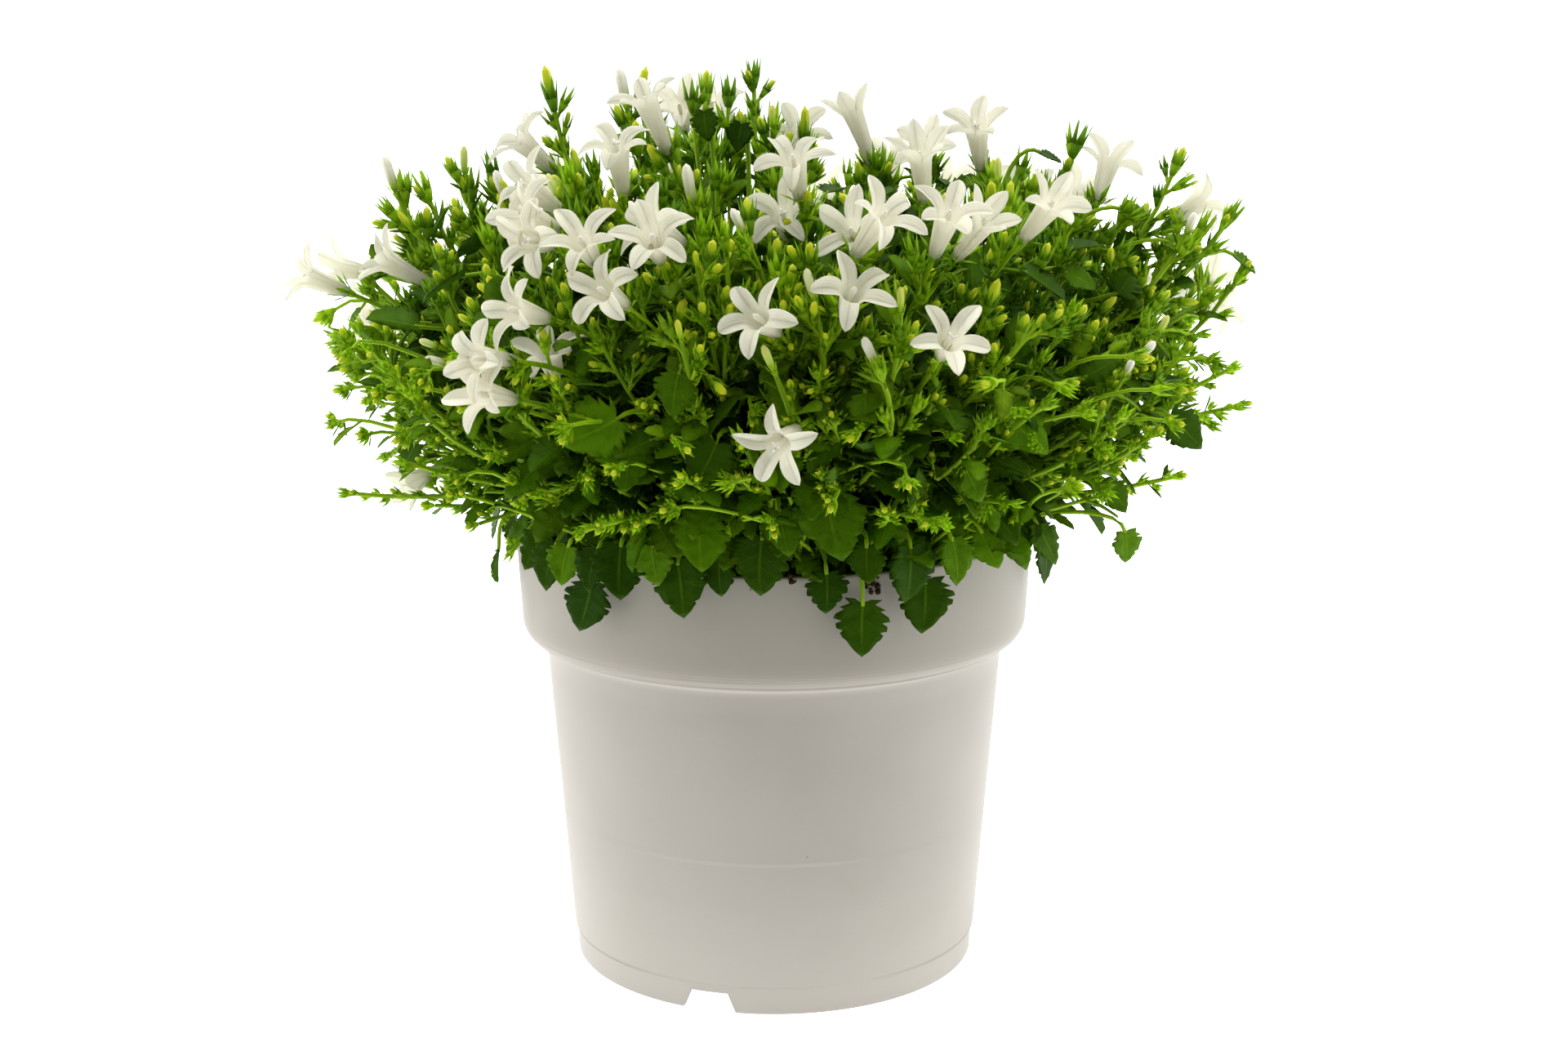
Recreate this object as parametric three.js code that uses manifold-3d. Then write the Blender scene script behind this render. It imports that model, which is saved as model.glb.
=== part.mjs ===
// Potted dalmatian bellflower: a dome of white bells growing out of a round plastic nursery pot.
// Millimetres, +Z up. The origin is the centre of the pot's foot, on the surface it stands on.
// The front of the plant, where its flowers face the viewer, looks along -Y, with +X on the right.
import * as THREE from 'three';
import { mergeVertices } from 'three/addons/utils/BufferGeometryUtils.js';
import { ParametricGeometry } from 'three/addons/geometries/ParametricGeometry.js';
import Module from 'manifold-3d';

const wasm = await Module();
wasm.setup();

// Clearance where one piece sits on another
const GAP = 0.3;

// Pot: a 13 cm nursery pot with a stepped collar
const POT_HEIGHT = 112;
const RIM_RADIUS = 65;
const COLLAR_FOOT_RADIUS = 63.7;
const COLLAR_FOOT_HEIGHT = 88.8;
const BODY_TOP_RADIUS = 57.8;
const BODY_TOP_HEIGHT = 83.2;
const BODY_FOOT_RADIUS = 51.8;
const FOOT_RADIUS = 51;
const FOOT_HEIGHT = 6.7;
const FOOT_WIDTH = 2;
const WALL = 1.3;
const POT_SIDES = 36;
const NOTCH_AZIMUTHS = [-108, 12, 132];
const NOTCH_TOP_WIDTH = 9.5;
const NOTCH_FOOT_WIDTH = 14.5;
const NOTCH_HEIGHT = 5;
const DRAIN_HOLES = 6;
const DRAIN_RADIUS = 4;
const DRAIN_CIRCLE_RADIUS = 36;

// Potting soil
const SOIL_EDGE_HEIGHT = 104;
const SOIL_TOP_HEIGHT = 105;
const SOIL_FLAT_RADIUS = 56;

// Shoots
const STEM_RADIUS = 1;
const STEM_SIDES = 4;
const STEM_STEPS = 7;
const STOOL_RADIUS = 46;
const STEM_RISE = 36;
const STEM_REACH = 30;
const STEM_INTO_CALYX = 1.5;
const BRANCH_RADIUS = 0.7;
const BRANCH_SIDES = 3;
const BRANCH_LENGTH = 17;
const BRANCH_LEAN = 0.75;
const BRANCH_LIFT = 0.25;
const BRANCH_PLACES = [0.6, 0.78];
const BUD_LENGTH = 7;
const BUD_RADIUS = 1.7;
const SEPAL_REACH = 5.4;
const STEM_LEAF_LENGTH = 10;
const STEM_LEAF_WIDTH = 7;
const STEM_LEAF_LEAN = 1;
const STEM_LEAF_PLACES = [0.44, 0.55, 0.68, 0.86];
const CLEAR_OF_STEM = 2;
const LEAF_THICKNESS = 0.8;
const GOLDEN_ANGLE = THREE.MathUtils.degToRad(137.5);

// Corollas
const PETALS = 5;
const COROLLA_LENGTH = 14;
const COROLLA_WALL = 0.7;
const COROLLA_SLICES = 20;
const SINUS = 0.56;

// Basal leaves that hang over the rim
const BLADE_LENGTH = 15;
const BLADE_WIDTH = 15;
const BLADE_STANDOFF = 4.5;
const BLADE_OUTWARD_LEAN = 0.12;
const PETIOLE_FOOT_RADIUS = 53;
const PETIOLE_OVER_RIM = 5;
const PETIOLE_RADIUS = 0.8;
const PETIOLE_STEPS = 6;

// Where each flowering shoot ends: the corolla's seat, then the heading and the rise that it faces
const FLOWERS = [
  [-105, -5, 170, -160, 24],
  [-83, -15, 173, -159, 30],
  [-53, -10, 200, -161, 42],
  [-46, -80, 192, -135, 25],
  [-33, -62, 198, -100, 62],
  [-19, -90, 190, -128, 25],
  [1, -104, 173, -121, 27],
  [15, -102, 177, -77, 36],
  [6, -72, 198, -103, 52],
  [24, 0, 201, 173, 69],
  [34, -93, 188, -74, 47],
  [54, -78, 190, -60, 39],
  [79, -5, 192, 60, 55],
  [35, -103, 168, -79, 31],
  [-54, -97, 166, -134, 9],
  [5, -106, 153, -113, -10],
  [98, 5, 186, 20, 30],
  [74, 70, 180, 40, 30],
  [15, 98, 183, 95, 28],
  [-55, 82, 186, 120, 35],
  [-92, 48, 170, 155, 15],
];

// Shoots that end in a bud tuft: the tip, then the heading and the rise of the tuft
const BUD_SHOOTS = [
  [-5, 14, 220, 100, 84],
  [111, -4, 187, 0, 62],
  [-103, -18, 122, -170, 8],
  [111, -26, 145, -10, 15],
  [-40, -98, 130, -112, 4],
  [36, -102, 132, -70, 4],
  [-22, 112, 134, 100, 8],
];

// Basal leaves: the azimuth on the rim and the height of the hanging tip
const RIM_LEAVES = [
  [-127, 96],
  [-108, 103],
  [-92, 109],
  [-73, 94],
  [-60, 98],
  [-18, 100],
  [52, 98],
  [112, 96],
  [166, 100],
];

const POT_PLASTIC = new THREE.MeshStandardMaterial({ color: 0xd6d2c8, roughness: 0.42 });
const PEAT = new THREE.MeshStandardMaterial({ color: 0x2b1d14, roughness: 0.95 });
const STEM_GREEN = new THREE.MeshStandardMaterial({ color: 0x5f9a2c, roughness: 0.6 });
const LEAF_GREEN = new THREE.MeshStandardMaterial({ color: 0x2f6b1a, roughness: 0.55 });
const PETAL_WHITE = new THREE.MeshStandardMaterial({ color: 0xf4f2ea, roughness: 0.6 });

const UP = new THREE.Vector3(0, 0, 1);

function polar(azimuth, radius, height) {
  const angle = THREE.MathUtils.degToRad(azimuth);
  return new THREE.Vector3(radius * Math.cos(angle), radius * Math.sin(angle), height);
}

function direction(heading, rise) {
  const angle = THREE.MathUtils.degToRad(rise);
  return polar(heading, Math.cos(angle), Math.sin(angle));
}

function twoDigits(number) {
  return String(number).padStart(2, '0');
}

// A closed geometry as a solid: only positions are kept, and triangles of no area are dropped
function solidOf(geometry) {
  const bare = new THREE.BufferGeometry();
  bare.setAttribute('position', geometry.getAttribute('position'));
  bare.setIndex(geometry.getIndex());
  const merged = mergeVertices(bare, 1e-4);
  const index = merged.getIndex().array;
  const triangles = [];
  for (let i = 0; i < index.length; i += 3) {
    const [a, b, c] = [index[i], index[i + 1], index[i + 2]];
    if (a !== b && b !== c && c !== a) {
      triangles.push(a, b, c);
    }
  }
  return new wasm.Manifold(new wasm.Mesh({
    numProp: 3,
    vertProperties: new Float32Array(merged.getAttribute('position').array),
    triVerts: new Uint32Array(triangles),
  }));
}

function joined(solids) {
  return solids.reduce((whole, solid) => whole.add(solid));
}

function piece(name, solid, material) {
  const { vertProperties, triVerts } = solid.getMesh();
  const geometry = new THREE.BufferGeometry();
  geometry.setAttribute('position', new THREE.BufferAttribute(vertProperties, 3));
  geometry.setIndex(new THREE.BufferAttribute(triVerts, 1));
  geometry.computeVertexNormals();
  const mesh = new THREE.Mesh(geometry, material);
  mesh.name = name;
  return mesh;
}

// Turns a solid of revolution's profile of [radius, height] pairs from the Y axis to the Z axis
function revolved(profile, sides) {
  const points = profile.map(([radius, height]) => new THREE.Vector2(radius, height));
  return new THREE.LatheGeometry(points, sides).rotateX(Math.PI / 2);
}

// Stands a geometry made along +Z at a point, with its Z along a direction
function standing(geometry, at, along) {
  const turn = new THREE.Quaternion().setFromUnitVectors(UP, along);
  return geometry.applyQuaternion(turn).translate(at.x, at.y, at.z);
}

// Lays a flat geometry made in the XY plane with its Y along a direction and its Z along a normal
function laid(geometry, at, along, normal) {
  const side = new THREE.Vector3().crossVectors(along, normal).normalize();
  const face = new THREE.Vector3().crossVectors(side, along).normalize();
  const basis = new THREE.Matrix4().makeBasis(side, along, face).setPosition(at);
  return geometry.applyMatrix4(basis);
}

function rod(curve, radius, sides, steps) {
  const corners = Array.from({ length: sides }, (_, number) => {
    const angle = (2 * Math.PI * number) / sides;
    return new THREE.Vector2(radius * Math.cos(angle), radius * Math.sin(angle));
  });
  const section = new THREE.Shape(corners);
  return new THREE.ExtrudeGeometry(section, { steps, extrudePath: curve, bevelEnabled: false });
}

// Room taken up by what has grown so far, as lines with a radius and an owner
const taken = [];

function take(owner, start, end, radius) {
  taken.push({ owner, line: new THREE.Line3(start, end), radius });
}

function isFree(owner, start, end, radius) {
  const line = new THREE.Line3(start, end);
  return taken.every((room) => {
    const apart = Math.sqrt(room.line.distanceSqToLine3(line));
    return room.owner === owner || apart > room.radius + radius + GAP;
  });
}

function takeAlong(owner, curve, steps, radius) {
  const points = curve.getPoints(steps);
  for (let i = 0; i < steps; i += 1) {
    take(owner, points[i], points[i + 1], radius);
  }
}

// Pot

function potProfile() {
  const collarArc = [];
  const drop = COLLAR_FOOT_HEIGHT - BODY_TOP_HEIGHT;
  const reach = COLLAR_FOOT_RADIUS - BODY_TOP_RADIUS;
  const arcSteps = 3;
  for (let i = 0; i <= arcSteps; i += 1) {
    const angle = (Math.PI / 2) * (i / arcSteps);
    const radius = BODY_TOP_RADIUS + reach * Math.sin(angle);
    collarArc.push([radius, COLLAR_FOOT_HEIGHT - drop * Math.cos(angle)]);
  }
  const floorTop = FOOT_HEIGHT + WALL;
  return [
    [0, FOOT_HEIGHT],
    [FOOT_RADIUS - FOOT_WIDTH, FOOT_HEIGHT],
    [FOOT_RADIUS - FOOT_WIDTH, 0],
    [FOOT_RADIUS, 0],
    [FOOT_RADIUS, FOOT_HEIGHT],
    [BODY_FOOT_RADIUS, FOOT_HEIGHT],
    ...collarArc,
    [RIM_RADIUS, POT_HEIGHT],
    [RIM_RADIUS - WALL, POT_HEIGHT],
    [COLLAR_FOOT_RADIUS - WALL, COLLAR_FOOT_HEIGHT + WALL],
    [BODY_TOP_RADIUS - WALL, BODY_TOP_HEIGHT + WALL],
    [BODY_FOOT_RADIUS - WALL, floorTop],
    [0, floorTop],
  ];
}

function notchCutter(azimuth) {
  const outline = new THREE.Shape([
    new THREE.Vector2(-NOTCH_FOOT_WIDTH / 2, -1),
    new THREE.Vector2(NOTCH_FOOT_WIDTH / 2, -1),
    new THREE.Vector2(NOTCH_TOP_WIDTH / 2, NOTCH_HEIGHT),
    new THREE.Vector2(-NOTCH_TOP_WIDTH / 2, NOTCH_HEIGHT),
  ]);
  const depth = 5 * FOOT_WIDTH;
  const block = new THREE.ExtrudeGeometry(outline, { depth, bevelEnabled: false });
  block.rotateX(Math.PI / 2).rotateZ(Math.PI / 2);
  block.translate(FOOT_RADIUS - depth / 2, 0, 0);
  return solidOf(block.rotateZ(THREE.MathUtils.degToRad(azimuth)));
}

function drainCutter(number) {
  const length = 4 * WALL;
  const hole = new THREE.CylinderGeometry(DRAIN_RADIUS, DRAIN_RADIUS, length, 12);
  const centre = polar((360 * (number + 0.5)) / DRAIN_HOLES, DRAIN_CIRCLE_RADIUS, FOOT_HEIGHT);
  return solidOf(hole.rotateX(Math.PI / 2).translate(centre.x, centre.y, centre.z));
}

function pot() {
  let solid = solidOf(revolved(potProfile(), POT_SIDES));
  for (const azimuth of NOTCH_AZIMUTHS) {
    solid = solid.subtract(notchCutter(azimuth));
  }
  for (let i = 0; i < DRAIN_HOLES; i += 1) {
    solid = solid.subtract(drainCutter(i));
  }
  return piece('pot', solid, POT_PLASTIC);
}

function pottingSoil() {
  const inset = WALL + GAP + 0.1;
  const profile = [
    [0, FOOT_HEIGHT + WALL + GAP],
    [BODY_FOOT_RADIUS - inset, FOOT_HEIGHT + WALL + GAP],
    [BODY_TOP_RADIUS - inset, BODY_TOP_HEIGHT + WALL + GAP],
    [COLLAR_FOOT_RADIUS - inset, COLLAR_FOOT_HEIGHT + WALL + GAP],
    [COLLAR_FOOT_RADIUS - inset + 0.5, SOIL_EDGE_HEIGHT],
    [SOIL_FLAT_RADIUS, SOIL_TOP_HEIGHT],
    [0, SOIL_TOP_HEIGHT],
  ];
  return piece('potting_soil', solidOf(revolved(profile, POT_SIDES)), PEAT);
}

// Shoots

// A stem rises straight from the soil, then leans out to its tip, so the outer shoots start outside
function stemCurve(tip, facing, stop) {
  const spread = Math.atan2(Math.hypot(tip.x, tip.y), tip.z - SOIL_TOP_HEIGHT);
  const azimuth = THREE.MathUtils.radToDeg(Math.atan2(tip.y, tip.x));
  const foot = polar(azimuth, STOOL_RADIUS * Math.sin(spread), SOIL_TOP_HEIGHT + GAP);
  const rise = STEM_RISE * (0.5 + 0.5 * Math.cos(spread));
  const above = foot.clone().addScaledVector(UP, rise);
  const before = tip.clone().addScaledVector(facing, -STEM_REACH);
  const end = tip.clone().addScaledVector(facing, -stop);
  return new THREE.CubicBezierCurve3(foot, above, before, end);
}

function bud(at, along) {
  const profile = [[0, -1], [0.9, 0], [BUD_RADIUS, 2.5], [0, BUD_LENGTH]];
  return solidOf(standing(revolved(profile, STEM_SIDES), at, along));
}

// The calyx is a small cup whose rim is drawn out into five pointed sepals
function calyxPoint(u, v, target) {
  const angle = 2 * Math.PI * u;
  const tip = Math.cos(PETALS * angle) > 0 ? 1 : 0;
  const rings = [
    [0, -3.4],
    [1.6, -1.9],
    [1.9 + tip * (SEPAL_REACH - 1.9), -1.1 + tip * 1.8],
    [1.5, -GAP],
    [0, -GAP],
  ];
  const [radius, height] = rings[Math.round(v * (rings.length - 1))];
  target.set(radius * Math.cos(angle), radius * Math.sin(angle), height);
}

function calyx(at, along) {
  const cup = new ParametricGeometry(calyxPoint, 2 * PETALS, 4);
  return solidOf(standing(cup, at, along));
}

function smallLeaf(at, along, normal, length, width) {
  const outline = new THREE.Shape([
    new THREE.Vector2(0, -0.4),
    new THREE.Vector2(0.5 * width, 0.4 * length),
    new THREE.Vector2(0, length),
    new THREE.Vector2(-0.5 * width, 0.4 * length),
  ]);
  const blade = new THREE.ExtrudeGeometry(outline, { depth: LEAF_THICKNESS, bevelEnabled: false });
  blade.translate(0, 0, -LEAF_THICKNESS / 2);
  return solidOf(laid(blade, at, along, normal));
}

// Unit vectors at a point of a stem: along it, and two across it
function stemFrame(curve, place) {
  const along = curve.getTangentAt(place);
  const across = new THREE.Vector3().crossVectors(along, UP);
  if (across.lengthSq() < 1e-4) {
    across.set(1, 0, 0);
  }
  across.normalize();
  const third = new THREE.Vector3().crossVectors(across, along).normalize();
  return { along, across, third };
}

function outwards(frame, angle, lean) {
  return frame.along.clone().multiplyScalar(Math.cos(lean))
    .addScaledVector(frame.across, Math.sin(lean) * Math.cos(angle))
    .addScaledVector(frame.third, Math.sin(lean) * Math.sin(angle));
}

function branches(owner, curve, turn) {
  const grown = [];
  BRANCH_PLACES.forEach((place, number) => {
    const start = curve.getPointAt(place);
    const frame = stemFrame(curve, place);
    const aim = outwards(frame, turn + number * GOLDEN_ANGLE, BRANCH_LEAN);
    aim.addScaledVector(UP, BRANCH_LIFT).normalize();
    const end = start.clone().addScaledVector(aim, BRANCH_LENGTH);
    const top = end.clone().addScaledVector(aim, BUD_LENGTH);
    if (isFree(owner, start.clone().addScaledVector(aim, CLEAR_OF_STEM), top, BUD_RADIUS)) {
      take(owner, start, top, BUD_RADIUS);
      const twig = new THREE.LineCurve3(start, end);
      grown.push(solidOf(rod(twig, BRANCH_RADIUS, BRANCH_SIDES, 1)), bud(end, aim));
    }
  });
  return grown;
}

function stemLeaves(owner, curve, turn) {
  const grown = [];
  STEM_LEAF_PLACES.forEach((place, number) => {
    const start = curve.getPointAt(place);
    const frame = stemFrame(curve, place);
    const aim = outwards(frame, turn + (number + 0.5) * GOLDEN_ANGLE, STEM_LEAF_LEAN);
    const end = start.clone().addScaledVector(aim, STEM_LEAF_LENGTH);
    const near = start.clone().addScaledVector(aim, CLEAR_OF_STEM);
    if (isFree(owner, near, end, STEM_LEAF_WIDTH / 2)) {
      take(owner, near, end, STEM_LEAF_WIDTH / 2);
      grown.push(smallLeaf(start, aim, frame.along, STEM_LEAF_LENGTH, STEM_LEAF_WIDTH));
    }
  });
  return grown;
}

function shoot(plan, number) {
  const name = `shoot_${twoDigits(number + 1)}`;
  const stem = solidOf(rod(plan.curve, STEM_RADIUS, STEM_SIDES, STEM_STEPS));
  const top = plan.flowers ? calyx(plan.tip, plan.facing) : bud(plan.tip, plan.facing);
  const turn = number * GOLDEN_ANGLE;
  const grown = [...branches(name, plan.curve, turn), ...stemLeaves(name, plan.curve, turn)];
  return piece(name, joined([stem, top, ...grown]), STEM_GREEN);
}

// Corollas

// How far each lobe reaches at an angle round the bell: 1 at a lobe's tip and 0 between two lobes
function lobeShare(angle) {
  return Math.abs(Math.cos((PETALS * angle) / 2)) ** 0.9;
}

// The bell's radius and height at a share of its length
function bellPoint(share) {
  const flare = Math.max(0, share - 0.5) / 0.5;
  const radius = 1.3 + 3.4 * Math.min(1, share / 0.5) ** 0.8 + 5.4 * flare ** 1.2;
  return new THREE.Vector2(radius, COROLLA_LENGTH * (share - 0.1 * flare ** 2));
}

// The rows of a bell: up the outside from its seat, over the lobe's edge, and down the inside
const OUTER_SHARES = [0, 0, 0.5, 1];
const INNER_SHARES = [1, 0.4, 0.12];

function corollaPoint(u, v, target) {
  const angle = 2 * Math.PI * u;
  const end = SINUS + (1 - SINUS) * lobeShare(angle);
  const shares = [...OUTER_SHARES, ...INNER_SHARES];
  const row = Math.round(v * (shares.length - 1));
  const spot = bellPoint(shares[row] * end);
  if (row >= OUTER_SHARES.length) {
    spot.x -= COROLLA_WALL;
    spot.y += 0.3 * COROLLA_WALL;
  }
  if (row === 0 || row === shares.length - 1) {
    spot.x = 0;
    spot.y = bellPoint(shares[row] * SINUS).y;
  }
  target.set(spot.x * Math.cos(angle), spot.x * Math.sin(angle), spot.y);
}

function corolla(plan, number) {
  const bell = new ParametricGeometry(corollaPoint, COROLLA_SLICES, 6);
  const solid = solidOf(standing(bell, plan.tip, plan.facing));
  return piece(`corolla_${twoDigits(number + 1)}`, solid, PETAL_WHITE);
}

function takeCorolla(owner, plan) {
  const at = (distance) => plan.tip.clone().addScaledVector(plan.facing, distance);
  take(owner, at(0), at(6), 4.2);
  take(owner, at(7), at(10), 8);
  take(owner, at(12), at(12.5), 11);
}

// Basal leaves

function bladeOutline() {
  const half = [
    [0.3, -0.12], [0.5, 0.1], [0.43, 0.17], [0.49, 0.36],
    [0.38, 0.4], [0.35, 0.6], [0.25, 0.62], [0.14, 0.84],
  ];
  const right = half.map(([x, y]) => new THREE.Vector2(x * BLADE_WIDTH, y * BLADE_LENGTH));
  const left = half.map(([x, y]) => new THREE.Vector2(-x * BLADE_WIDTH, y * BLADE_LENGTH)).reverse();
  const notch = new THREE.Vector2(0, -0.02 * BLADE_LENGTH);
  const tip = new THREE.Vector2(0, BLADE_LENGTH);
  return new THREE.Shape([notch, ...right, tip, ...left]);
}

// A leaf stalk rises from the soil, arches over the rim and comes down to the blade outside
function petioleCurve(azimuth, seat) {
  const overRim = Math.max(POT_HEIGHT + PETIOLE_OVER_RIM, seat.z + 1);
  const outside = polar(azimuth, RIM_RADIUS + BLADE_STANDOFF - 1, Math.max(seat.z, POT_HEIGHT) + 1.5);
  return new THREE.CatmullRomCurve3([
    polar(azimuth, PETIOLE_FOOT_RADIUS, SOIL_TOP_HEIGHT + GAP),
    polar(azimuth, PETIOLE_FOOT_RADIUS + 0.6, SOIL_TOP_HEIGHT + 4),
    polar(azimuth, PETIOLE_FOOT_RADIUS + 5, overRim - 1.5),
    polar(azimuth, RIM_RADIUS - 1, overRim),
    outside,
    seat.clone().addScaledVector(UP, -0.5),
  ]);
}

function rimLeaf([azimuth, tipHeight], number) {
  const name = `rim_leaf_${twoDigits(number + 1)}`;
  const out = polar(azimuth, 1, 0);
  const seat = polar(azimuth, RIM_RADIUS + BLADE_STANDOFF, tipHeight + BLADE_LENGTH);
  const hang = out.clone().multiplyScalar(BLADE_OUTWARD_LEAN).addScaledVector(UP, -1).normalize();
  const blade = new THREE.ExtrudeGeometry(bladeOutline(), { depth: LEAF_THICKNESS, bevelEnabled: false });
  blade.translate(0, 0, -LEAF_THICKNESS / 2);
  const petiole = petioleCurve(azimuth, seat);
  const stalk = solidOf(rod(petiole, PETIOLE_RADIUS, STEM_SIDES, PETIOLE_STEPS));
  takeAlong(name, petiole, PETIOLE_STEPS, PETIOLE_RADIUS);
  const middle = seat.clone().addScaledVector(hang, BLADE_LENGTH / 2);
  take(name, middle, middle.clone().addScaledVector(hang, 1), 0.6 * BLADE_LENGTH);
  return piece(name, joined([stalk, solidOf(laid(blade, seat, hang, out))]), LEAF_GREEN);
}

function planOf([x, y, z, heading, rise], flowers) {
  const tip = new THREE.Vector3(x, y, z);
  const facing = direction(heading, rise);
  const curve = stemCurve(tip, facing, flowers ? STEM_INTO_CALYX : 0);
  return { tip, facing, flowers, curve };
}

const plant = new THREE.Group();
const plans = [
  ...FLOWERS.map((row) => planOf(row, true)),
  ...BUD_SHOOTS.map((row) => planOf(row, false)),
];
plant.add(pot(), pottingSoil());
plans.forEach((plan, number) => {
  takeAlong(`shoot_${twoDigits(number + 1)}`, plan.curve, STEM_STEPS, STEM_RADIUS);
  if (plan.flowers) {
    takeCorolla(`corolla_${twoDigits(number + 1)}`, plan);
  }
});
plant.add(...RIM_LEAVES.map(rimLeaf));
plant.add(...plans.map(shoot));
plant.add(...plans.filter((plan) => plan.flowers).map(corolla));

export default plant;
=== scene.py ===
"""Looks of a potted bellflower: pot, soil, shoots, leaves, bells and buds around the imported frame."""
import random
from collections import namedtuple
from math import atan2, copysign, cos, degrees, dist, hypot, pi, radians, sin, tau

import bmesh
import bpy
import numpy as np
from bpy.props import FloatProperty, FloatVectorProperty, IntProperty, PointerProperty
from mathutils import Matrix, Vector


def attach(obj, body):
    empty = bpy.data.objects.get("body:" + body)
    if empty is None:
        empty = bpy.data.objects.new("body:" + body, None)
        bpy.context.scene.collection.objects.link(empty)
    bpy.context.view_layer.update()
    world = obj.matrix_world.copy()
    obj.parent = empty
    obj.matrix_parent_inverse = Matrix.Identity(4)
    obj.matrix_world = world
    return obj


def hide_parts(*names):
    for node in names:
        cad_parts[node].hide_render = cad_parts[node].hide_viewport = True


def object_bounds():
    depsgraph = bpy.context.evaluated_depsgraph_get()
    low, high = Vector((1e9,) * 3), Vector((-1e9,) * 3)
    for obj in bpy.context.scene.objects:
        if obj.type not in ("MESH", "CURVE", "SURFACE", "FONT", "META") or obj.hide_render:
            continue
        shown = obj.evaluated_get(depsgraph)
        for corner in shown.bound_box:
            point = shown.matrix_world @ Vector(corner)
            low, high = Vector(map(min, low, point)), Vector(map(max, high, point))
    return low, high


bl_info = {
    "name": "Potted Bellflower",
    "version": (1, 0, 0),
    "blender": (4, 5, 0),
    "location": "3D View > Sidebar > Bellflower",
    "description": "Builds a white bellflower that grows as a dome out of a nursery pot",
    "category": "Add Mesh",
}

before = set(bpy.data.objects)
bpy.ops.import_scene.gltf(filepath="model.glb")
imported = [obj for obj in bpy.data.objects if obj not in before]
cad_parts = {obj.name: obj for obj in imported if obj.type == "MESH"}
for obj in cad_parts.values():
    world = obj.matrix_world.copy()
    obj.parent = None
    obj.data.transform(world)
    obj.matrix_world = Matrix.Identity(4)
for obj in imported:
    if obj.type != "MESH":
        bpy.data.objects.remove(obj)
cad_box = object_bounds()

MM = 0.001
UP = Vector((0, 0, 1))
GOLDEN_ANGLE = radians(137.5)
BODY = "root"
SPECULAR = "Specular IOR Level"

# The photograph's camera, in millimetres and pixels
CAMERA_PLACE = Vector((2.5, -600, 238))
CAMERA_PITCH = 0.209
FOCAL_PIXELS = 2969
PICTURE_WIDTH = 1920
PICTURE_HEIGHT = 1282
SENSOR = 36

# The pot, repeated from the construction, in millimetres
LIP_RADIUS = 65
LIP_HEIGHT = 112
COLLAR_RADIUS = 63.7
COLLAR_HEIGHT = 88.8
BODY_RADIUS = 57.8
BODY_HEIGHT = 83.2
BASE_RADIUS = 51.8
FOOT_RADIUS = 51.0
FOOT_HEIGHT = 6.7
LINE_HEIGHT = 39
NOTCH_AZIMUTHS = (-108, 12, 132)
NOTCH_FOOT_WIDTH = 14.5
HOLES = 6
HOLE_RING = 36
HOLE_RADIUS = 4

# Shoots, repeated from the construction, in millimetres
SOIL_TOP = 105
STEM_FOOT = SOIL_TOP + 0.3
STOOL_RADIUS = 46
STEM_RISE = 36
STEM_REACH = 30
STEM_INTO_CALYX = 1.5
STEM_STEPS = 12
SPIKE_REACH = 46
FILLER_REACH = 36
TUFT_ROW = 7.5
SPIKE_ROW = 16
TUFT_LENGTH = 5.5
TALL_BUD_LENGTH = 11.8
SEPAL_SEAT = 0.8

# Where the stalks of the leaves that hang over the rim come down outside it, in millimetres
HANGING_RADIUS = LIP_RADIUS + 4.5

# The dome that the foliage fills, in millimetres
DOME_RADIUS = 108
DOME_WAIST = 157
DOME_RISE = 46
DOME_DROP = 41
DOME_POWER = 2.6

# How far the foliage may reach past the construction's box, and how far in front of a bell nothing
# grows where the camera looks into it and where it doesn't, in millimetres
BOX_MARGIN = 7
SIGHT_LINE = 30
HIDDEN_LINE = 11

# Kinds of points in a piece's skeleton, and what is kept for each point
STEM, LEAF, LANCE, HEART, BRACT, TUFT, BUDDING, YOUNG_BUD, CALYX, TALL_BUD = range(10)
KINDS = (LEAF, LANCE, HEART, BRACT, TUFT, BUDDING, YOUNG_BUD, CALYX, TALL_BUD)
POINT_FIELDS = {
    "thickness": "FLOAT",
    "kind": "INT",
    "turn": "FLOAT_VECTOR",
    "size": "FLOAT_VECTOR",
    "tone": "FLOAT",
    "youth": "FLOAT",
}

# Finishes of a piece's faces; the stems have the first one
FINISHES = ("stem_green", "leaf_green", "sepal_green", "bud_cream", "petal_white")
FINISH_LEAF = FINISHES.index("leaf_green")
FINISH_SEPAL = FINISHES.index("sepal_green")
FINISH_BUD = FINISHES.index("bud_cream")

# A bell's corolla: rows and columns of its mesh, and the length and half width of a lobe in millimetres
TUBE_ROWS = 6
LOBE_ROWS = 9
LOBE_COLUMNS = 8
LOBES = 5
LOBE_LENGTH = 7.3
LOBE_WIDEST = 0.45
LOBE_HALF_WIDTH = 1.85
VEINS_ROUND = 35

# Buds and cups, as rows of (share of length, share of radius)
BUD_ROWS = ((0.0, 0.45), (0.16, 0.8), (0.45, 0.95), (0.75, 1.0), (0.93, 0.62))
SMALL_BUD_ROWS = ((0.0, 0.5), (0.45, 1.0), (0.8, 0.75))
CUP_ROWS = ((0.0, 0.5), (0.8, 1.0))

Bell = namedtuple("Bell", "x y z heading rise tube spread")
Sight = namedtuple("Sight", "column row depth heading rise tube spread")
Spike = namedtuple("Spike", "column row depth heading rise")
Bud = namedtuple("Bud", "column row tip_column tip_row depth ripeness")
Blade = namedtuple("Blade", "column row size tilt depth")

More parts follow.
